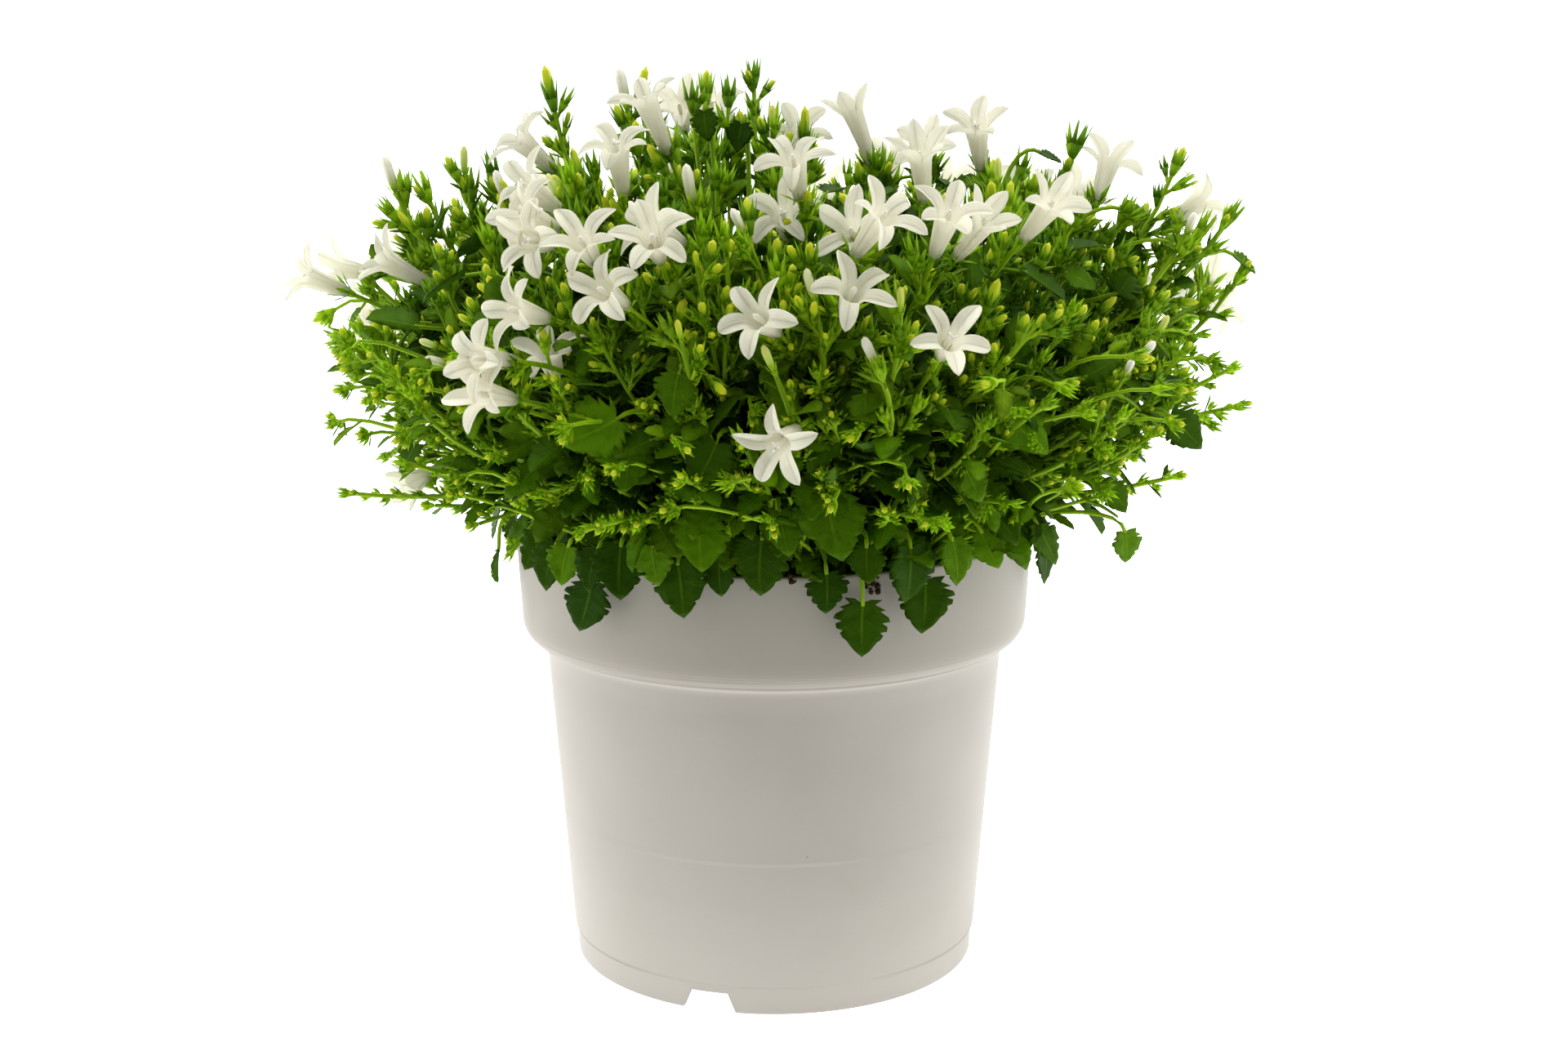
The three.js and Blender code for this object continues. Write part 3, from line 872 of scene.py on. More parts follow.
def smooth_line(marks, steps):
    """A smooth line through marks, with that many points between two of them."""
    line = []
    ends = [marks[0] * 2 - marks[1]] + marks + [marks[-1] * 2 - marks[-2]]
    for a, b, c, d in zip(ends, ends[1:], ends[2:], ends[3:]):
        for step in range(steps):
            t = step / steps
            bend = (2 * a - 5 * b + 4 * c - d) * t * t
            line.append(0.5 * ((2 * b) + (c - a) * t + bend + (3 * b - a - 3 * c + d) * t ** 3))
    line.append(marks[-1])
    return line


def line_length(points):
    return sum((b - a).length for a, b in zip(points, points[1:]))


def place_on(points, share):
    """The point at a share of a line of points, and the direction there."""
    spot = share * (len(points) - 1)
    before = min(int(spot), len(points) - 2)
    along = (points[before + 1] - points[before]).normalized()
    return points[before].lerp(points[before + 1], spot - before), along


def leaning(along, angle, lean):
    """A direction that leans away from a stem, at an angle round it."""
    across = along.cross(UP)
    if across.length < 1e-2:
        across = Vector((1, 0, 0))
    across.normalize()
    third = across.cross(along).normalized()
    side = across * cos(angle) + third * sin(angle)
    return along * cos(lean) + side * sin(lean)


def baked(thing):
    """Replaces an object that has modifiers by a plain mesh of what they make."""
    graph = bpy.context.evaluated_depsgraph_get()
    mesh = bpy.data.meshes.new_from_object(thing.evaluated_get(graph))
    mesh.name = thing.name
    for modifier in list(thing.modifiers):
        thing.modifiers.remove(modifier)
    thing.data = mesh
    return thing


def joined_as(name, things):
    """Joins objects at the origin into the first of them."""
    with bpy.context.temp_override(active_object=things[0], selected_editable_objects=things):
        bpy.ops.object.join()
    things[0].name = name
    things[0].data.name = name
    return things[0]


def carried(thing, slot, *nodes):
    """Rides a finished piece on the plant's body and hides the nodes it stands for; the slot is not used."""
    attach(thing, BODY)
    if nodes:
        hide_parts(*nodes)


# Leaves

def leaf_outline(length, width, teeth, widest, heel=0.0, bite=0.16, rng=None):
    """Half of a toothed leaf's outline from foot to tip, as (side, along) pairs.

    The heel is how far a heart-shaped leaf reaches back past its stalk, as a share of its length.
    With rng, as on a large leaf, the teeth are uneven and have shoulders, and the tip is slimmer.
    """
    slimness = 0.85 if rng else 0.66

    def side_at(share):
        return 0.5 * width * sin(pi * share ** widest) ** slimness

    outline = []
    if heel:
        outline += [(0.14 * width, -0.9 * heel * length), (0.33 * width, -heel * length)]
    for tooth in range(teeth):
        chance = rng.uniform(-0.5, 0.5) if rng else 0
        share = 0.94 * (tooth + 0.6 + 0.3 * chance) / teeth
        cut = bite * (1 + chance)
        if rng:
            shoulder = share - 0.42 / teeth
            outline.append((side_at(shoulder) * (1 - 0.2 * cut), mix(-0.3 * heel, 1, shoulder) * length))
        side = side_at(share)
        along = mix(-0.3 * heel, 1, share) * length
        outline.append((side, along))
        outline.append((side * (1 - cut), along + 0.17 * length / teeth))
    return outline


def blade_height(x, y, length, width, fold, droop):
    """How far a leaf's surface stands out at a place: folded at its midrib, and drooping to its tip."""
    side = abs(x) / width
    share = y / length
    return fold * width * (side - side * side) - droop * length * share * abs(share)


def blade_parts(outline, length, width, columns, fold, droop, thickness, relief):
    """Points, faces, UVs and underside marks of a thin closed leaf: +Z is along it, +Y its upper side."""
    rows = [(0.012 * length, 0.0)] + outline
    across = sorted({-share for share in columns} | set(columns))
    points = []
    places = []
    marks = []

    def add(x, y, sink, under, lift=0.0):
        height = blade_height(x, y, length, width, fold, droop) + lift
        points.append(Vector((x, height - sink, y)))
        places.append((0.5 + 0.9 * x / width, max(0.0, y / length)))
        marks.append(under)
        return len(points) - 1

    def grid(sink, under, rim):
        lines = []
        for number, (reach, along) in enumerate(rows):
            line = []
            for column in across:
                if rim and abs(column) == 1:
                    line.append(rim[number][0 if column < 0 else -1])
                else:
                    middle = along if along > 0 else along * abs(column)
                    wave = relief * (1 - 2 * (number % 2)) * abs(column)
                    line.append(add(column * reach, middle, sink * (abs(column) < 1), under, wave))
            lines.append(line)
        return lines

    upper = grid(0.0, 0.0, None)
    tip = add(0, length, 0.5 * thickness, 0.5)
    lower = grid(thickness, 1.0, upper)
    faces = []
    for lines, is_upper in ((upper, True), (lower, False)):
        for near, far in zip(lines, lines[1:]):
            for a, b, c, d in zip(near, near[1:], far[1:], far):
                faces.append((a, b, c, d) if is_upper else (d, c, b, a))
        for a, b in zip(lines[-1], lines[-1][1:]):
            faces.append((a, b, tip) if is_upper else (tip, b, a))
    for column in range(len(across) - 1):
        faces.append((upper[0][column + 1], upper[0][column], lower[0][column], lower[0][column + 1]))
    return points, faces, places, marks


def blade_mesh(name, outline, length, width, columns, fold=0.4, droop=0.12, thickness=0.35, relief=0.0):
    parts = blade_parts(outline, length, width, columns, fold, droop, thickness, relief)
    points, faces, places, marks = parts
    faces = [tuple(dict.fromkeys(face)) for face in faces]
    mesh = mesh_of(name, points, [face for face in faces if len(face) > 2])
    set_uv(mesh, places)
    set_numbers(mesh, "under", "FLOAT", "POINT", marks)
    set_numbers(mesh, "finish", "INT", "FACE", [FINISH_LEAF] * len(mesh.polygons))
    mesh.shade_smooth()
    return mesh


# Sepals, tufts and buds

def sepal(angle, length, width, lean):
    """A pointed sepal with three sides, leaning out from the axis of its tuft."""
    outward = around(angle)
    side = Vector((-sin(angle), cos(angle), 0)) * (0.5 * width)
    aim = outward * sin(lean) + UP * cos(lean)
    middle = outward * (SEPAL_SEAT + 0.2) + aim * (0.36 * length)
    points = [
        outward * SEPAL_SEAT - UP * 1.0,
        middle + side,
        middle - side,
        middle + outward * 0.28 * width,
        outward * SEPAL_SEAT + aim * length,
    ]
    faces = [(0, 2, 1), (0, 3, 2), (0, 1, 3), (4, 1, 2), (4, 2, 3), (4, 3, 1)]
    return points, faces


def narrow_sepal(angle, length, width, lean):
    """A narrow upright sepal with three sides that tapers from the rim of its cup."""
    foot = around(angle)
    side = Vector((-sin(angle), cos(angle), 0)) * (0.5 * width)
    aim = foot * sin(lean) + UP * cos(lean)
    points = [foot + side, foot - side, foot - foot * (0.35 * width) - UP * 0.3, foot + aim * length]
    faces = [(0, 1, 2), (1, 0, 3), (2, 1, 3), (0, 2, 3)]
    return points, faces


def bud_body(rows, length, radius, sides, pleat, foot=0.0):
    """A closed bud along +Z with pleats, from rows of (share of length, share of radius), with its UVs."""
    points = []
    places = []
    for share, breadth in rows:
        for number in range(sides):
            reach = radius * breadth * (1 - pleat * (number % 2))
            points.append(around(tau * number / sides, reach, foot + length * share))
            places.append((number / sides, share))
    faces = ring_faces(len(rows), sides)
    bottom = len(points)
    points += [Vector((0, 0, foot - 0.3)), Vector((0, 0, foot + length))]
    places += [(0.5, 0), (0.5, 1)]
    last = (len(rows) - 1) * sides
    for number in range(sides):
        after = (number + 1) % sides
        faces.append((number, bottom, after))
        faces.append((last + number, last + after, bottom + 1))
    return points, faces, places


def tuft_mesh(name, length, width, lean, bud=None, is_narrow=False):
    """Five sepals round a green cup, with a bud inside where one is given."""
    whole = Gathered()
    for number in range(LOBES):
        angle = tau * number / LOBES
        if is_narrow:
            points, faces = narrow_sepal(angle, length * (1 - 0.12 * (number % 2)), width, lean)
        else:
            points, faces = sepal(angle, length, width, lean)
        whole.add(points, faces, [(0.5, 0.5)] * len(points))
    whole.add(*bud_body(CUP_ROWS, 2.7, 1.25, 4, 0.0, -2.3))
    finishes = [FINISH_SEPAL] * len(whole.faces)
    if bud:
        whole.add(*bud_body(*bud))
    finishes += [FINISH_BUD] * (len(whole.faces) - len(finishes))
    mesh = mesh_of(name, whole.points, whole.faces)
    set_uv(mesh, whole.places)
    set_numbers(mesh, "finish", "INT", "FACE", finishes)
    mesh.shade_smooth()
    return mesh


def make_prototypes():
    """The small parts that the shoots repeat, each as an object at the origin."""
    ovate = leaf_outline(10, 6.8, 3, 0.64, 0.0, 0.22)
    lance = leaf_outline(10, 3.2, 2, 0.7)
    heart = leaf_outline(10, 10, 4, 0.6, 0.08, 0.27)
    bract = leaf_outline(5, 1.3, 1, 0.7)
    budding = (SMALL_BUD_ROWS, 3.6, 0.85, 5, 0.0, 0.2)
    young_bud = (SMALL_BUD_ROWS, 5.8, 1.05, 5, 0.0, 0.2)
    tall_bud = (BUD_ROWS, 11.5, 1.6, 10, 0.13, 0.3)
    meshes = {
        LEAF: blade_mesh("leaf", ovate, 10, 6.6, (0, 1)),
        LANCE: blade_mesh("lance", lance, 10, 3.2, (0, 1), 0.7, 0.2),
        HEART: blade_mesh("heart", heart, 10, 9.6, (0, 1), 0.4, 0.12),
        BRACT: blade_mesh("bract", bract, 5, 1.3, (0, 1), 0.4, 0.05, 0.25),
        TUFT: tuft_mesh("tuft", 4.1, 1.4, 0.13, None, True),
        BUDDING: tuft_mesh("budding", 3.9, 1.35, 0.2, budding, True),
        YOUNG_BUD: tuft_mesh("young_bud", 4.0, 1.3, 0.2, young_bud, True),
        CALYX: tuft_mesh("calyx", 5.4, 1.4, 0.85),
        TALL_BUD: tuft_mesh("tall_bud", 4.6, 1.2, 0.34, tall_bud),
    }
    return {kind: new_object("prototype_" + mesh.name, mesh) for kind, mesh in meshes.items()}


# Growth: the skeleton that Geometry Nodes turn into stems, leaves and tufts

def dome_share(point):
    """How far out in the foliage's dome a point is: 0 in its middle, 1 on its surface."""
    height = (point.z - DOME_WAIST) / (DOME_RISE if point.z > DOME_WAIST else DOME_DROP)
    flat = hypot(point.x, point.y) / DOME_RADIUS
    return (abs(height) ** DOME_POWER + flat ** DOME_POWER) ** (1 / DOME_POWER)


def dome_point(azimuth, height, share):
    """A point of the foliage's dome. Height goes from 1 at the top to -1 at the bottom."""
    drop = DOME_RISE if height > 0 else DOME_DROP
    level = copysign(abs(height) ** 1.15, height)
    flat = (1 - abs(level) ** DOME_POWER) ** (1 / DOME_POWER)
    return polar(azimuth, DOME_RADIUS * flat * share, DOME_WAIST + drop * level * share)


class Growth:
    """Gathers one piece's stems and sprouts, in millimetres."""

    def __init__(self):
        self.points = []
        self.edges = []
        self.rows = []

    def add(self, point, thickness, kind, turn, size, tone, youth):
        """Adds a point; what grows deep in the plant gets a darker tone and less young green, which is
        painted shade.
        """
        # painted shade: tone and young green fade towards the middle of the dome
        outer = clamped((dome_share(point) - 0.72) / 0.24)
        if kind < TUFT:
            youth *= mix(0.3, 1, outer)
        self.points.append(tuple(point * MM))
        self.rows.append((thickness * MM, kind, turn, size, tone * outer, youth))

    def stem(self, points, start, end, tone, youth=0.0):
        first = len(self.points)
        last = len(points) - 1
        for number, point in enumerate(points):
            thickness = mix(start, end, number / last)
            self.add(point, thickness, STEM, (0, 0, 0), (1, 1, 1), tone, youth)
            if number:
                self.edges.append((first + number - 1, first + number))

    def sprout(self, kind, point, along, face, size, tone, youth):
        """Places a small part with +Z along it and +Y on the side that faces the light."""
        along = along.normalized()
        side = face.cross(along)
        if side.length < 1e-4:
            side = along.orthogonal()
        turn = frame_along(along, side.normalized()).to_euler()
        self.add(point, 0, kind, tuple(turn), size, tone, youth)

    def mesh(self, name):
        mesh = bpy.data.meshes.new(name)
        mesh.from_pydata(self.points, self.edges, [])
        for (field, kind), numbers in zip(POINT_FIELDS.items(), zip(*self.rows)):
            set_numbers(mesh, field, kind, "POINT", numbers)
        return mesh


def growth_tree():
    """The Geometry Nodes tree that thickens the stems and puts a small part on every sprout."""
    inputs = {"Skeleton": "Geometry", "Stem Sides": "Int", "Stem Scale": "Float"}
    inputs |= {f"Part {kind}": "Object" for kind in KINDS}
    inputs |= {f"Finish {finish}": "Material" for finish in FINISHES}
    w = Tree("grow", inputs, "Plant")
    skeleton = w.given["Skeleton"]
    kind_of = w.named("kind", "INT")
    stems = w.out("GeometryNodeMeshToCurve", {"Mesh": skeleton, "Selection": w.is_equal(kind_of, STEM)})
    ring = w.out("GeometryNodeCurvePrimitiveCircle", {"Resolution": w.given["Stem Sides"], "Radius": 1.0})
    thickness = w.named("thickness", "FLOAT") * w.given["Stem Scale"]
    values = {"Curve": stems, "Profile Curve": ring, "Scale": thickness, "Fill Caps": True}
    parts = [w.out("GeometryNodeCurveToMesh", values)]
    turn = w.out("FunctionNodeEulerToRotation", {"Euler": w.named("turn", "FLOAT_VECTOR")})
    size = w.named("size", "FLOAT_VECTOR")
    for kind in KINDS:
        values = {"Mesh": skeleton, "Selection": w.is_equal(kind_of, kind)}
        spots = w.out("GeometryNodeMeshToPoints", values)
        parts.append(w.on_points(spots, f"Part {kind}", turn, size))
    whole = w.out("GeometryNodeSetShadeSmooth", {"Geometry": w.joined(parts), "Shade Smooth": True})
    finish_of = w.named("finish", "INT")
    for number, finish in enumerate(FINISHES):
        values = {"Geometry": whole, "Selection": w.is_equal(finish_of, number)}
        values["Material"] = w.given[f"Finish {finish}"]
        whole = w.out("GeometryNodeSetMaterial", values)
    w.node("NodeGroupOutput", {"Plant": whole})
    return w


def grown(growth, name, tree, prototypes, sides):
    """Runs the growth tree on a skeleton, and leaves a plain mesh without the skeleton's kinds, turns,
    sizes, thicknesses and finishes; tone and youth stay.
    """
    values = {"Stem Sides": sides, "Stem Scale": 1.0}
    values |= {f"Part {kind}": prototypes[kind] for kind in KINDS}
    values |= {f"Finish {finish}": material_named(finish) for finish in FINISHES}
    thing = tree.run(new_object(name, growth.mesh(name)), values)
    for field in ("kind", "turn", "size", "thickness", "finish"):
        layer = thing.data.attributes.get(field)
        if layer:
            thing.data.attributes.remove(layer)
    return thing


# Shoots

def stem_points(tip, facing, stop, reach=STEM_REACH):
    """A stem rises straight from the soil and leans out to its tip, as the construction has it."""
    spread = atan2(hypot(tip.x, tip.y), tip.z - SOIL_TOP)
    foot = polar(bearing(tip), STOOL_RADIUS * sin(spread), STEM_FOOT)
    above = foot + UP * (STEM_RISE * (0.5 + 0.5 * cos(spread)))
    return bezier(foot, above, tip - facing * reach, tip - facing * stop, STEM_STEPS)


def sights(*tables):
    """The bells of tables that give them by their pixels."""
    bells = []
    for sight in sum(tables, []):
        bells.append(Bell(*place_of(sight), sight.heading, sight.rise, sight.tube, sight.spread))
    return bells


def all_bells():
    return CAD_BELLS + sights(SEEN_BELLS, HIDDEN_BELLS) + BACK_BELLS


def bell_seat(bell):
    return Vector((bell.x, bell.y, bell.z))


def bell_stem(bell):
    return stem_points(bell_seat(bell), facing_of(bell), STEM_INTO_CALYX)


class Room:
    """Knows where nothing may grow: in front of the open bells, in the soil and in the pot's wall."""

    def __init__(self, bells):
        self.mouths = []
        for bell in bells:
            facing = facing_of(bell)
            mouth = bell_seat(bell) + facing * (bell.tube + 1)
            self.mouths.append((mouth, facing, SIGHT_LINE if facing.y < -0.25 else HIDDEN_LINE))

    def is_free(self, point, width=8.5, reach=SIGHT_LINE):
        for mouth, facing, clear in self.mouths:
            apart = point - mouth
            ahead = apart.dot(facing)
            if -5 < ahead < min(reach, clear) and (apart - facing * ahead).length < width:
                return False
        radius = hypot(point.x, point.y)
        lowest = SOIL_TOP + 1 if radius < LIP_RADIUS - 4 else LIP_HEIGHT + 2
        if radius < LIP_RADIUS + 4 and point.z < lowest:
            return False
        sides = zip(point, *cad_box)
        return all(low / MM - BOX_MARGIN < value < high / MM + BOX_MARGIN for value, low, high in sides)


def is_near_surface(point):
    """Whether a place is near enough to the dome's surface to show between the outer leaves."""
    return dome_share(point) > 0.6


def height_share(point):
    """From 0 low in the plant to 1 near its top."""
    return clamped((point.z - 145) / 45)


def facing_light(rng, along, point):
    """The way a leaf's upper side turns: up, and out of the plant."""
    outward = Vector((point.x, point.y, 0)) * 0.006
    chance = Vector((rng.uniform(-0.4, 0.4), rng.uniform(-0.4, 0.4), 0))
    return UP * 0.8 + outward + along * 0.1 + chance


def leaf_kind(rng, place, leafy):
    """Low leaves are hearts on stalks, the highest ones are mostly bracts and narrow leaves."""
    if place < mix(0.5, 0.85, leafy):
        return HEART if rng.random() < 0.55 else LEAF
    if place < mix(0.68, 0.92, leafy):
        return LEAF
    chance = rng.random()
    if chance < 0.45:
        return LEAF
    return LANCE if chance < 0.6 else BRACT


def grow_leaf(growth, rng, room, start, aim, size, kind, youth):
    """A leaf that sits on its stem, or a bract."""
    foot = start + aim * (0.6 if kind in (BRACT, LANCE) else 1.2 + 0.12 * size)
    end = foot + aim * size
    if not room.is_free(end) or not room.is_free(foot):
        return
    tone = rng.random()
    if kind in (LEAF, HEART):
        growth.stem([start, foot + aim * 0.6], 0.4, 0.28, tone, youth)
    scale = size / (5 if kind == BRACT else 10)
    breadth = scale * rng.uniform(0.85, 1.15)
    growth.sprout(kind, foot, aim, facing_light(rng, aim, foot), (breadth, scale, scale), tone, youth)


def grow_tuft(growth, rng, point, along, size):
    """A green calyx, some with a bud inside; the low ones are the brightest and have the smallest buds."""
    chance = rng.random()
    high = height_share(point)
    kind = TUFT
    if chance < mix(0.005, 0.06, high):
        kind = YOUNG_BUD
    elif chance < mix(0.4, 0.42, high):
        kind = BUDDING
    size *= mix(0.72, 1.2, high)
    face = Vector((rng.uniform(-1, 1), rng.uniform(-1, 1), rng.uniform(-1, 1)))
    breadth = size * mix(1.2, 1.0, high)
    scale = (breadth, breadth, size * rng.uniform(0.9, 1.2) * mix(0.78, 1.0, high))
    tone = min(1.0, rng.uniform(0.0, 0.75) + 0.4 * (1 - high))
    growth.sprout(kind, point + along * 1.5, along, face, scale, tone, rng.uniform(0.88, 1.0))


def grow_row(growth, rng, room, points, length):
    """A tuft at the end of a stem or twig, and others on alternate sides below it, over a length."""
    total = line_length(points)
    end, along = place_on(points, 1.0)
    grow_tuft(growth, rng, end, along, rng.uniform(0.95, 1.2))
    turn = rng.uniform(0, tau)
    pace = mix(0.62, 1.1, height_share(end))
    back = rng.uniform(2.2, 3.2) * pace
    while back < min(length, total - 0.8):
        root, along = place_on(points, 1 - back / total)
        aim = leaning(along, turn, rng.uniform(0.45, 0.75))
        stalk = 0.9 + rng.uniform(0, 3.2) * max(0.0, pace - 0.62) * 2
        if room.is_free(root + aim * (stalk + 4)):
            growth.stem([root, root + aim * stalk], 0.5, 0.42, rng.random(), 0.5)
            grow_tuft(growth, rng, root + aim * stalk, aim, rng.uniform(0.7, 1.0))
        if rng.random() < 0.3:
            bract_aim = leaning(along, turn + rng.uniform(-0.6, 0.6), 1.0)
            grow_leaf(growth, rng, room, root, bract_aim, rng.uniform(3.5, 5.5), BRACT, rng.uniform(0, 0.5))
        turn += pi * rng.uniform(0.7, 1.3)
        back += rng.uniform(2.4, 3.8) * pace


def grow_twig(growth, rng, room, start, aim, length, youth):
    """A side twig that curves upwards and carries a row of tufts."""
    bend = aim.lerp(UP, 0.5).normalized()
    end = start + aim * (0.62 * length) + bend * (0.4 * length)
    points = bezier(start, start + aim * (0.35 * length), start + aim * (0.6 * length), end, 3)
    if not room.is_free(points[-1] + bend * 4):
        return
    growth.stem(points, 0.5, 0.38, rng.random(), mix(youth, 1.0, 0.4))
    grow_row(growth, rng, room, points, length - 1)


def grow_shoot(growth, rng, room, points, ends_in, row=TUFT_ROW):
    """One shoot: its stem, leaves up the stem, side twigs in their axils and a row of tufts on top."""
    length = line_length(points)
    tone = rng.random()
    leafy = clamped((204 - points[-1].z) / 48)
    growth.stem(points, 0.9, 0.55, tone, mix(0.15, 0.45, rng.random()))
    row = row * rng.uniform(0.8, 1.2) if ends_in == TUFT else 0
    place = 0.3 + rng.uniform(0, 0.05)
    angle = rng.uniform(0, tau)
    while place < 1 - max(row, 3) / length:
        start, along = place_on(points, place)
        aim = leaning(along, angle, mix(1.25, 0.85, place))
        aim.z -= 0.15 * (1 - place)
        youth = max(0.0, (place - 0.5) * 1.2) * rng.uniform(0.2, 1)
        if is_near_surface(start) or rng.random() < 0.25:
            kind = leaf_kind(rng, place, leafy)
            size = mix(14, 5 if kind == BRACT else mix(7.5, 9, leafy), place) * rng.uniform(0.75, 1.2)
            grow_leaf(growth, rng, room, start, aim.normalized(), size, kind, youth * 0.7)
            if place > mix(0.5, 0.64, leafy) and rng.random() > 0.3 * leafy:
                twig = mix(14, 4, max(0, (place - 0.5) / 0.5)) * rng.uniform(0.6, 1.25)
                grow_twig(growth, rng, room, start, leaning(along, angle + 0.25, 0.6), twig, youth)
        place += mix(8.5, mix(5.0, 6.5, leafy), place) * rng.uniform(0.85, 1.15) / length
        angle += GOLDEN_ANGLE
    end, along = place_on(points, 1.0)
    if ends_in == CALYX:
        growth.sprout(CALYX, end + along * (STEM_INTO_CALYX + 0.1), along, UP, (1, 1, 1), tone, 0.7)
    elif ends_in == TUFT:
        grow_row(growth, rng, room, points, row)


def filler_plans(foliage):
    """Tips and facings of the shoots that fill the dome."""
    rng = random.Random(foliage.seed)
    plans = []
    for number, (azimuth, share) in enumerate(spread_round(foliage.shoots)):
        azimuth += rng.uniform(-4, 4)
        height = 1 - 1.82 * share ** 0.98
        depth = rng.uniform(0.84, 1.0) if number % 4 else rng.uniform(0.55, 0.8)
        tip = dome_point(azimuth, height, depth)
        rise = mix(0, 86, ((height + 0.85) / 1.85) ** 0.8) + rng.uniform(-10, 10)
        heading = azimuth + rng.uniform(-25, 25)
        plans.append((tip, direction(heading, min(rise, 88))))
    return plans


def low_leaf(growth, rng, room, azimuth, share):
    """A heart-shaped leaf on its own stalk from the soil, low in the plant."""
    height = mix(114, 158, share)
    seat = polar(azimuth, mix(60, 96, share) + rng.uniform(-6, 6), height + rng.uniform(-3, 3))
    outward = polar(azimuth + rng.uniform(-75, 75), 1, 0)
    aim = (outward - UP * rng.uniform(-0.3, 1.1)).normalized()
    size = rng.uniform(7, 11.5)
    if not room.is_free(seat) or not room.is_free(seat + aim * size):
        return
    foot = polar(azimuth, rng.uniform(38, 52), STEM_FOOT)
    above = Vector((foot.x, foot.y, seat.z + 4))
    tone = rng.random()
    growth.stem(bezier(foot, above, seat - aim * 8 + UP * 3, seat + aim * 0.6, 7), 0.6, 0.45, tone, 0.3)
    scale = size / 10
    growth.sprout(HEART, seat, aim, facing_light(rng, aim, seat), (scale, scale, scale), tone, 0.15)


def inner_leaf(growth, rng, room, azimuth, share):
    """A broad leaf inside the dome, on a stalk from the soil, that closes the view through the plant."""
    seat = dome_point(azimuth, mix(0.98, -0.5, share), rng.uniform(0.42, 0.93))
    outward = polar(azimuth + rng.uniform(-60, 60), 1, 0)
    aim = (outward + UP * rng.uniform(-0.6, 0.8)).normalized()
    size = rng.uniform(8.5, 12)
    if seat.z < SOIL_TOP + 12:
        return
    if not room.is_free(seat, 6, 14) or not room.is_free(seat + aim * size, 6, 14):
        return
    foot = polar(azimuth, rng.uniform(10, 50), STEM_FOOT)
    above = Vector((foot.x, foot.y, seat.z - 4))
    tone = rng.uniform(0, 0.5)
    growth.stem(bezier(foot, above, seat - aim * 6, seat + aim * 0.6, 6), 0.6, 0.45, tone, 0.1)
    scale = size / 10
    growth.sprout(HEART, seat, aim, facing_light(rng, aim, seat), (scale, scale, scale), tone, 0.05)


def low_sprig(growth, rng, room, azimuth, share):
    """A bright twig low in the plant that arches out between the leaves to a cluster of small tufts."""
    tip = dome_point(azimuth, mix(-0.95, 0.25, share), rng.uniform(0.88, 1.04))
    aim = (polar(azimuth + rng.uniform(-85, 85), 1, 0) + UP * rng.uniform(-0.4, 0.5)).normalized()
    if not room.is_free(tip) or not room.is_free(tip + aim * 6):
        return
    start = azimuth + rng.uniform(-28, 28)
    foot = polar(start, rng.uniform(40, 53), STEM_FOOT)
    above = polar(start, rng.uniform(54, 76), max(121, tip.z - rng.uniform(0, 14)))
    points = bezier(foot, above, tip - aim * rng.uniform(8, 13) + UP * rng.uniform(1, 7), tip, 8)
    growth.stem(points, 0.6, 0.42, rng.random(), rng.uniform(0.4, 0.9))
    grow_row(growth, rng, room, points, rng.uniform(3.5, 8))
    for place in (0.6, 0.8):
        start, along = place_on(points, place)
        leaf_aim = leaning(along, rng.uniform(0, tau), 0.9)
        grow_leaf(growth, rng, room, start, leaf_aim, rng.uniform(4.5, 8), LEAF, rng.uniform(0, 0.5))


# Bells

def lobe_width(share):
    """Half the width of a bell's lobe, in millimetres, at a share of its length."""
    if share < LOBE_WIDEST:
        return mix(1.5, LOBE_HALF_WIDTH, sin(0.5 * pi * share / LOBE_WIDEST))
    return LOBE_HALF_WIDTH * (1 - ((share - LOBE_WIDEST) / (1 - LOBE_WIDEST)) ** 1.9) ** 0.8


def tube_radius(share, mouth):
    """The radius of a bell's tube, which widens to its mouth."""
    return mix(1.15, mouth, 0.75 * share ** 0.8 + 0.25 * share ** 3)


def tube_part(bell, mouth, whole):
    """The tube of a bell along +Z: rings of points from its foot to where the lobes part."""
    columns = LOBES * LOBE_COLUMNS
    points = []
    places = []
    for row in range(TUBE_ROWS + 1):
        share = row / TUBE_ROWS
        for column in range(columns):
            angle = tau * column / columns
            ridge = 1 + 0.06 * cos(LOBES * angle) * share * (1 - share) * 4
            points.append(around(angle, tube_radius(share, mouth) * ridge, bell.tube * share))
            places.append((column / columns, bell.tube * share / whole))
    return points, ring_faces(TUBE_ROWS + 1, columns), places


